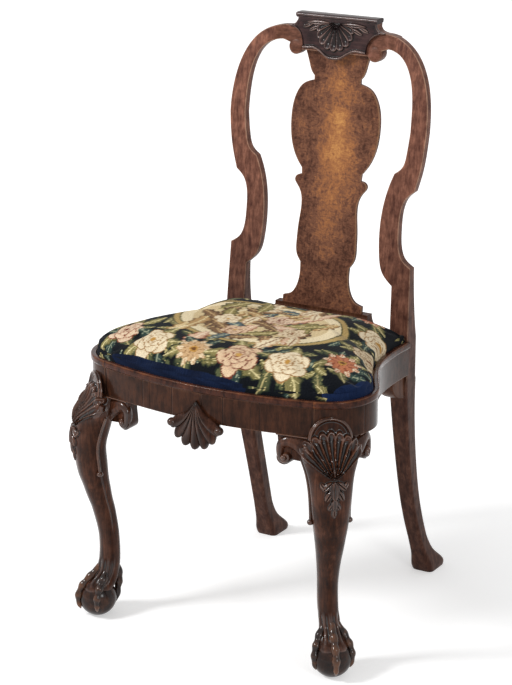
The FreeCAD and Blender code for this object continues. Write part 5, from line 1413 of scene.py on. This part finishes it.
def petal(wool, centre, turn, out, size, codes):
    """One petal: a round lobe set out from the bloom's middle, pale at its rim and darker at its root."""
    along, off = wool.near(centre, turn)
    share = np.hypot((along - out) / (0.92 * size), off / size)
    inside = share < 1
    wool.paint(inside, codes[0])
    wool.paint(inside * smoothstep(along, out + 0.5 * size, out - 0.9 * size), codes[1])
    streak = np.abs(np.sin(9 * off / size)) ** 5 * smoothstep(along, out + 0.75 * size, out - 0.3 * size)
    wool.paint(inside * 0.55 * streak, codes[1])
    wool.paint(inside & (share > 0.88), codes[2])


def bloom(wool, centre, radius, count, codes, turn=0.0):
    """Rings of lapped petals from the outside in, each ring turned half a petal, round a gold heart."""
    for ring, (out, size) in enumerate(((0.62, 0.42), (0.42, 0.36), (0.24, 0.28), (0.1, 0.2))):
        for index in range(count):
            way = turn + 2 * math.pi * (index + 0.5 * ring) / count
            petal(wool, centre, way, out * radius, size * radius, codes)
    along, off = wool.near(centre)
    wool.paint(np.hypot(along, off) < radius * 0.13, codes[3])


def daisy(wool, centre, radius, count, codes, turn=0.0):
    """Two rings of long pointed petals round a gold heart."""
    for ring, length in ((0, radius), (1, radius * 0.8)):
        for index in range(count):
            tapestry_leaf(wool, centre, turn + 2 * math.pi * (index + 0.5 * ring) / count, length,
                          (codes[ring], codes[2], codes[1]), 0.0, 0.24)
    along, off = wool.near(centre)
    wool.paint(np.hypot(along, off) < radius * 0.22, "#b98a45")
    wool.paint(np.hypot(along, off) < radius * 0.12, "#6a4526")


GREENS = [("#55593c", "#1f2820", "#c2b27c"), ("#7b7349", "#333827", "#d6c893"),
          ("#32433e", "#141d20", "#9aa085"), ("#8b8152", "#464930", "#ddd09c")]
CREAMS = [("#e4d0ae", "#c5a278", "#93704b", "#8a6140"), ("#e5cdaf", "#b97453", "#854732", "#6d3326"),
          ("#e8d8b8", "#d0b58a", "#9d774d", "#b98a45"), ("#e0c3a0", "#aa644a", "#763a2a", "#c59a55")]
GOLDS = [("#d8bf8e", "#98703f", "#efe2bd"), ("#ecdcb9", "#b98d63", "#8d603f"),
         ("#b99565", "#6f5232", "#e6d3a2"), ("#dcb899", "#94563f", "#f0dcc0"),
         ("#8f8250", "#4d4a2d", "#d5c590"), ("#7d5f42", "#432f22", "#cfae7c"),
         ("#5b6a6b", "#2c3a40", "#b9b898")]
BLOOMS = [(-196, -176, 33, 5, 1), (-122, -208, 37, 5, 2), (-36, -217, 33, 6, 0), (48, -212, 40, 5, 3),
          (132, -200, 38, 6, 2), (205, -146, 33, 5, 1), (212, -62, 32, 6, 0), (182, 20, 33, 5, 2),
          (130, 84, 31, 6, 3), (52, 106, 30, 5, 0), (-30, 104, 32, 6, 1), (-108, 94, 31, 5, 2),
          (-172, 40, 32, 6, 0), (-214, -40, 32, 5, 3), (-222, -112, 28, 6, 2)]
MIDDLE, FIELD = (-2.0, -58.0), (152.0, 104.0)
OVAL_BANDS = [(1.07, "#3d3f2a"), (1.05, "#b59a63"), (0.98, "#5a5634"), (0.96, "#ebdab4"),
              (0.82, "#d4be92")]
COVER_CENTRE = SEAT_FRONT + FRONT_RADIUS


def tapestry(x, y):
    """Paints the cover: ground, sprays of leaves, a pale oval of curled leaves, blooms and the navy edge."""
    wool = Wool(x, y)
    wool.paint(np.ones_like(x), "#101318")
    draw = np.random.default_rng(7)
    for row in range(12):
        for column in range(16):
            base = (-285 + 37 * column + draw.uniform(-13, 13), -295 + 37 * row + draw.uniform(-11, 11))
            tapestry_leaf(wool, base, draw.uniform(0, 6.28), draw.uniform(30, 50),
                          GREENS[draw.integers(len(GREENS))], draw.uniform(-0.4, 0.4))
    across_field, along_field = wool.near(MIDDLE)
    field = np.hypot(across_field / FIELD[0], along_field / FIELD[1])
    for edge, code in OVAL_BANDS:
        wool.paint(field < edge, code)
    for index in range(56):
        out, turn = math.sqrt(draw.uniform(0.0, 0.74)), draw.uniform(0, 6.28)
        base = (MIDDLE[0] + FIELD[0] * out * math.cos(turn), MIDDLE[1] + FIELD[1] * out * math.sin(turn))
        lean = 0.5 * math.pi * (index % 3 - 1) + draw.uniform(-0.5, 0.5) + math.pi * (base[0] > MIDDLE[0])
        tapestry_leaf(wool, base, lean, draw.uniform(44, 82), GOLDS[draw.integers(len(GOLDS))],
                      draw.uniform(-0.7, 0.7), 0.23)
    for spot, code in (((-62, -66), 2), ((18, -30), 1), ((74, -84), 0), ((-20, -112), 3)):
        bloom(wool, spot, 25, 5, CREAMS[code], 0.4 * code)
    for index, (bx, by, radius, count, code) in enumerate(BLOOMS):
        for spray in range(5):
            tapestry_leaf(wool, (bx, by), 1.26 * spray + index, radius * 1.55,
                          GREENS[(index + spray) % len(GREENS)], 0.3)
        kind = daisy if index % 3 == 2 else bloom
        kind(wool, (bx, by), radius, count if kind is bloom else count + 4, CREAMS[code], 0.7 * index)
    front = FRONT_RADIUS - SEAT_INSET - np.hypot(x, y - COVER_CENTRE)
    corner = CORNER_RADIUS + profile(y, FULLNESS) - SEAT_INSET - np.hypot(x - CORNER_X, y - CORNER_LINE)
    turn = np.arctan2(y - CORNER_LINE, x - CORNER_X)
    hem = (front < 1.8 * smoothstep(x, 85, 0) * smoothstep(x, -200, -120)) & (x > -190) & (x < 86)
    wool.paint(hem, "#0e162a")
    patch = 6.0 * smoothstep(turn, -0.95, -0.5) * smoothstep(turn, 0.35, -0.1)
    wool.paint((corner < patch) & (np.abs(turn) < 0.95) & (x > CORNER_X), "#172544")
    wool.paint((0.15 + 0.15 * np.sin(x / 9 + y / 5)) * hem, "#1a2b4c")
    shade = 1 + 0.07 * np.sin(x / 31 + y / 23)
    return wool.rgb * shade[..., None]


wool_rgb = tapestry(cloth_place[..., 0], cloth_place[..., 1])
print("tapestry:", wool_rgb.shape[0] * wool_rgb.shape[1], "stitches")

# %% [markdown]
# ## Tapestry wool
# A tapestry is ribbed: weft yarns packed over cords about two millimetres apart, drawn here a little coarser
# so that the rib shows. Wool scatters light softly, with a faint sheen and no gloss. The colour is the
# painted one, and the rib and the yarns are bump on the cloth's own coordinates.

# %% Tapestry finish
def tapestry_wool():
    """Ribbed wool: painted colour broken by yarn noise, with rib and yarn bump on the cloth's coordinates."""
    made, tree, shader = new_finish("tapestry_wool")
    dyed = node(tree, "ShaderNodeAttribute", attribute_name="wool").outputs["Color"]
    place = node(tree, "ShaderNodeAttribute", attribute_name="cloth_place").outputs["Vector"]
    rib = node(tree, "ShaderNodeTexWave", {"Vector": place, "Scale": per_metre(2.6)[0] / 6.28,
                                           "Distortion": 1.2, "Detail": 1.0}, bands_direction="X")
    yarn_at = node(tree, "ShaderNodeMapping", {"Vector": place, "Scale": per_metre(3.4, 1.2, 1.0)}).outputs[0]
    yarn = node(tree, "ShaderNodeTexNoise", {"Vector": yarn_at, "Scale": 1.0, "Detail": 3.0})
    light = node(tree, "ShaderNodeMapRange", {"Value": yarn.outputs["Fac"], "From Min": 0.3, "From Max": 0.7,
                                              "To Min": 0.72, "To Max": 1.18})
    tinted = node(tree, "ShaderNodeVectorMath", {0: dyed, "Scale": light.outputs[0]}, operation="SCALE")
    height = node(tree, "ShaderNodeMix", {"Factor": 0.45, "A": rib.outputs["Fac"], "B": yarn.outputs["Fac"]})
    bump = node(tree, "ShaderNodeBump", {"Height": height.outputs[0], "Strength": 0.4, "Distance": 0.8 * MM})
    tree.links.new(tinted.outputs[0], shader.inputs["Base Color"])
    tree.links.new(bump.outputs[0], shader.inputs["Normal"])
    shader.inputs["Roughness"].default_value = 0.92
    shader.inputs["Specular IOR Level"].default_value = 0.04
    shader.inputs["Sheen Weight"].default_value = 0.06
    shader.inputs["Sheen Roughness"].default_value = 0.5
    return made


TAPESTRY_WOOL = tapestry_wool()
print("wool finish:", len(TAPESTRY_WOOL.node_tree.nodes), "nodes")

# %% [markdown]
# ## The turned edge
# On the bench the cover is pulled round the slip frame and tacked underneath. Here the border of the patch is
# carried on in rows: under the frame, back above itself, up the inside of the wall and across below the dome.
# That makes the cover one closed mesh. Each row keeps the border's colours.

# %% Close the cover under the seat
def outline_of(grid):
    """The border of a grid in order, once round."""
    return np.concatenate([grid[0, :-1], grid[:-1, -1], grid[-1, :0:-1], grid[:0:-1, 0]])


TURN_UNDER = [(0.4, 458.7), (1.6, 458.45), (8.0, 458.4), (43.0, 458.4), (43.4, 459.0), (42.0, 459.55),
              (8.0, 459.6), (1.7, 459.7), (1.5, 466.0), (1.5, 479.9), (60.0, 480.2), (130.0, 480.2),
              (400.0, 480.2)]
border = outline_of(cover)
seat_middle = np.array([0.0, (SEAT_FRONT + SEAT_REAR) / 2])
inwards = seat_middle - border[:, :2]
reach = np.linalg.norm(inwards, axis=1, keepdims=True)
under_rows = [np.concatenate([border[:, :2] + inwards / reach * np.minimum(inset, reach),
                              np.full((len(border), 1), z)], axis=1) for inset, z in TURN_UNDER]
under = np.stack([border] + under_rows)
under_cloth = np.broadcast_to(outline_of(cloth_place)[None], (*under.shape[:2], 2))


def seat_mesh():
    """Cover patch and its turned edge as one closed mesh, with wool colours and cloth coordinates."""
    count = cover.shape[0] * cover.shape[1]
    points = np.concatenate([cover.reshape(-1, 3), under.reshape(-1, 3)])
    faces = np.concatenate([grid_faces(COVER_ROWS, COVER_COLUMNS, False),
                            grid_faces(*under.shape[:2], True) + count])
    turned_rgb = np.broadcast_to(outline_of(wool_rgb)[None], (*under.shape[:2], 3))
    rgb = np.concatenate([wool_rgb.reshape(-1, 3), turned_rgb.reshape(-1, 3)])
    place = np.concatenate([cloth_place.reshape(-1, 2), under_cloth.reshape(-1, 2)]) * MM
    mesh = bpy.data.meshes.new("tapestry_seat")
    mesh.from_pydata((points * MM).tolist(), [], faces.tolist())
    rgba = np.concatenate([rgb, np.ones((len(rgb), 1))], axis=1)
    wool = mesh.attributes.new("wool", "FLOAT_COLOR", "POINT")
    wool.data.foreach_set("color", rgba.astype(np.float32).ravel())
    flat = np.concatenate([place, np.zeros((len(place), 1))], axis=1)
    on_cloth = mesh.attributes.new("cloth_place", "FLOAT_VECTOR", "POINT")
    on_cloth.data.foreach_set("vector", flat.astype(np.float32).ravel())
    closed_up(mesh)
    mesh.shade_smooth()
    mesh.materials.append(TAPESTRY_WOOL)
    return mesh


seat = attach(add_object("tapestry_seat", seat_mesh()), "drop_in_seat")
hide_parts("seat_cover", "seat_stuffing")
print("tapestry_seat", len(seat.data.polygons), "faces")

# %% [markdown]
# ## Webbing
# Under the stuffing, jute straps are strained over the slip frame. They show when the seat is lifted out and
# turned over. Each strap is a thin closed band whose height is a cosine with one crossing to each half wave.
# On a real seat each strap passes over and under the others; here both sets rise and dip together, so that
# they run through each other where they cross.

# %% Woven finishes and straps
def plain_weave(name, code, dark, thread_mm, roughness):
    """Plain weave: two crossed waves for the threads, with uneven yarn."""
    made, tree, shader = new_finish(name)
    place = node(tree, "ShaderNodeTexCoord").outputs["Object"]
    threads = [node(tree, "ShaderNodeTexWave", {"Vector": place, "Scale": per_metre(thread_mm)[0] / 6.28,
                                                "Distortion": 0.8}, bands_direction=axis) for axis in "XY"]
    uneven = node(tree, "ShaderNodeTexNoise", {"Vector": place, "Scale": per_metre(9)[0], "Detail": 3.0})
    crossed = node(tree, "ShaderNodeMath", {0: threads[0].outputs["Fac"], 1: threads[1].outputs["Fac"]},
                   operation="MULTIPLY")
    tone = node(tree, "ShaderNodeMix", {"Factor": 0.5, "A": crossed.outputs[0], "B": uneven.outputs["Fac"]})
    tree.links.new(tones(tree, tone.outputs[0], [(0.15, dark), (0.75, code)]), shader.inputs["Base Color"])
    bump = node(tree, "ShaderNodeBump", {"Height": crossed.outputs[0], "Strength": 0.5, "Distance": 0.6 * MM})
    tree.links.new(bump.outputs[0], shader.inputs["Normal"])
    shader.inputs["Roughness"].default_value = roughness
    return made


# Jute is coarse and matt brown, linen paler and finer. Both are drawn coarser than real so that they show.
JUTE = plain_weave("jute_webbing", "#8f7650", "#4d3c26", 2.4, 0.95)
LINEN = plain_weave("linen_base_cloth", "#a99873", "#6b5c41", 1.8, 0.9)
WEB_LEVEL, WEB_HALF, WEB_PITCH, WEB_THICK = 477.3, 26.0, 84.0, 1.1
web_ends = (SEAT_FRONT + 28.0, SEAT_REAR - 17.0)
web_middle = sum(web_ends) / 2


def strap(length_axis, index, start, end):
    """Closed band along x or y: a flat section, its height a cosine with a crossing at each half wave."""
    along = np.linspace(start, end, 80)
    half = WEB_THICK / 2
    section = np.array([(-WEB_HALF, -half), (WEB_HALF, -half), (WEB_HALF, half), (-WEB_HALF, half)])
    offset = (index - 1) * WEB_PITCH
    centre = offset + (web_middle if length_axis == 0 else 0.0)
    start_at = web_middle if length_axis else 0.0
    wave = 0.75 * (-1) ** (index + 1) * np.cos(math.pi * (along - start_at) / WEB_PITCH)
    side = np.broadcast_to(centre + section[:, 0], (80, 4))
    run = np.broadcast_to(along[:, None], (80, 4))
    z = WEB_LEVEL + wave[:, None] + section[:, 1]
    return capped(np.stack([side, run, z] if length_axis else [run, side, z], axis=-1))


for index in range(3):
    y0 = web_ends[0] + (10.0 if index != 1 else 0.0)
    band = add_piece(f"web_length_{index + 1}", [strap(1, index, y0, web_ends[1])], JUTE, "drop_in_seat",
                     ["webbing_lengthwise"])
    half = (222.0, 196.0, 172.0)[index]
    band = add_piece(f"web_cross_{index + 1}", [strap(0, index, -half, half)], JUTE, "drop_in_seat",
                     ["webbing_crosswise"])

# %% [markdown]
# ## Base cloth
# Linen over the webbing keeps the hair in. It is the same patch as the cover's plan, a little smaller and
# flat, in two layers joined at the edge.

# %% Base cloth
u, v = np.meshgrid(np.linspace(0, 1, 40), np.linspace(0, 1, 32))
linen_flat = coons(u, v, SEAT_INSET + 3.0) * np.array([1.0, 0.99])
linen_top = np.concatenate([linen_flat, np.full((*linen_flat.shape[:2], 1), 479.75)], -1)
linen_low = linen_top - np.array([0.0, 0.0, 0.6])
linen_edge = np.stack([outline_of(linen_top), outline_of(linen_low)])
linen_mesh = bpy.data.meshes.new("linen_cloth")
layer = linen_flat.shape[0] * linen_flat.shape[1]
linen_faces = grid_faces(*linen_flat.shape[:2], False)
linen_mesh.from_pydata((np.concatenate([linen_top.reshape(-1, 3), linen_low.reshape(-1, 3),
                                        linen_edge.reshape(-1, 3)]) * MM).tolist(), [],
                       np.concatenate([linen_faces, linen_faces + layer,
                                       grid_faces(*linen_edge.shape[:2], True) + 2 * layer]).tolist())
closed_up(linen_mesh)
linen_mesh.materials.append(LINEN)
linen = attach(add_object("linen_cloth", linen_mesh), "drop_in_seat")
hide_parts("base_cloth")

# %% [markdown]
# ## Pieces that keep their frame shapes
# The shoe, the rail cores, corner blocks, slip rails, pegs, screws and tacks already have the shape
# they need. They take a finish: waxed walnut where they show, dry beech inside, and dull iron for fasteners.

# %% Finishes for the rest
def dull_iron():
    """Forged iron gone brown: dark metal with rough blotches of rust."""
    made, tree, shader = new_finish("forged_iron")
    place = node(tree, "ShaderNodeTexCoord").outputs["Object"]
    rust = node(tree, "ShaderNodeTexNoise", {"Vector": place, "Scale": per_metre(2.5)[0], "Detail": 4.0})
    tree.links.new(tones(tree, rust.outputs["Fac"], [(0.4, "#3a3634"), (0.62, "#5a3c2a")]),
                   shader.inputs["Base Color"])
    rough = node(tree, "ShaderNodeMapRange", {"Value": rust.outputs["Fac"], "To Min": 0.45, "To Max": 0.85})
    tree.links.new(rough.outputs[0], shader.inputs["Roughness"])
    shader.inputs["Metallic"].default_value = 0.7
    return made


# Planed beech left bare: pale, matt and dusty.
BEECH = waxed_wood("dry_beech", [(0.0, "#6d4d31"), (0.5, "#94704a"), (1.0, "#b08c62")],
                   (60.0, 5.0, 5.0), 30.0, "#b99a72", gloss=0.66)
IRON = dull_iron()
KEPT = {"splat_shoe": LEG_WALNUT, "seat_rail_rear": LEG_WALNUT, "seat_rail_front": BEECH,
        "seat_rail_left": BEECH, "seat_rail_right": BEECH, "rail_pegs": POST_WALNUT,
        "corner_block_screws": IRON, "cover_tacks": IRON}
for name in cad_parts:
    if name.startswith(("corner_block_front", "corner_block_rear", "slip_rail")):
        KEPT[name] = BEECH
for name, finish in KEPT.items():
    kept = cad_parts[name].data
    kept.materials.clear()
    kept.materials.append(finish)
print("kept from the frame:", len(KEPT))

# %% [markdown]
# ## Floor and light
# The chair stands on a pale floor in a white studio: a soft lamp high on the left, a weaker one on the right,
# and even light all round. The floor takes the shadows and looks white to the camera.

# %% Floor, lamps and world
def seen_directly(tree):
    """1 for camera, mirror and glass rays, 0 for the rays that light the chair."""
    path = node(tree, "ShaderNodeLightPath").outputs
    seen = path["Is Camera Ray"]
    for kind in ("Is Glossy Ray", "Is Transmission Ray"):
        seen = node(tree, "ShaderNodeMath", {0: seen, 1: path[kind]}, operation="MAXIMUM").outputs[0]
    return seen


def pale_floor():
    """Matt white, self-lit where it is seen directly so that it reads as paper, less near the chair."""
    made, tree, shader = new_finish("pale_floor")
    place = node(tree, "ShaderNodeTexCoord").outputs["Object"]
    away = node(tree, "ShaderNodeVectorMath", {0: place}, operation="LENGTH").outputs["Value"]
    level = node(tree, "ShaderNodeMapRange", {"Value": away, "From Min": 0.3, "From Max": 1.6, "To Min": 0.42,
                                              "To Max": 0.8})
    glow = node(tree, "ShaderNodeMath", {0: seen_directly(tree), 1: level.outputs[0]}, operation="MULTIPLY")
    shader.inputs["Base Color"].default_value = colour("#e6e6e6")
    shader.inputs["Roughness"].default_value = 0.9
    shader.inputs["Specular IOR Level"].default_value = 0.0
    shader.inputs["Emission Color"].default_value = (1.0, 1.0, 1.0, 1.0)
    tree.links.new(glow.outputs[0], shader.inputs["Emission Strength"])
    return made


FLOOR_SIZE = 14.0
corners = np.array([(-1, -1, 0), (1, -1, 0), (1, 1, 0), (-1, 1, 0)]) * FLOOR_SIZE
floor_mesh = bpy.data.meshes.new("floor")
floor_mesh.from_pydata(corners.tolist(), [], [(0, 1, 2, 3)])
floor_mesh.materials.append(pale_floor())
floor = add_object("floor", floor_mesh)


def soft_lamp(name, place, size, watts, aim=(0.0, 0.0, 0.5)):
    """Square area lamp turned towards the chair."""
    data = bpy.data.lights.new(name, "AREA")
    data.shape, data.size, data.energy = "SQUARE", size, watts
    lamp = add_object(name, data)
    lamp.location = place
    lamp.rotation_euler = (Vector(aim) - Vector(place)).to_track_quat("-Z", "Y").to_euler()


soft_lamp("key_lamp", (-2.0, -2.6, 3.0), 0.8, 110)
soft_lamp("side_lamp", (3.0, -1.8, 1.5), 0.9, 26)
world = bpy.data.worlds.new("white_studio")
bpy.context.scene.world = world
world.use_nodes = True
sky = world.node_tree
level = node(sky, "ShaderNodeMapRange", {"Value": seen_directly(sky), "To Min": 0.5, "To Max": 1.0})
sky.nodes["Background"].inputs["Color"].default_value = (1.0, 1.0, 1.0, 1.0)
sky.links.new(level.outputs[0], sky.nodes["Background"].inputs["Strength"])
bpy.context.scene.view_settings.view_transform = "Standard"
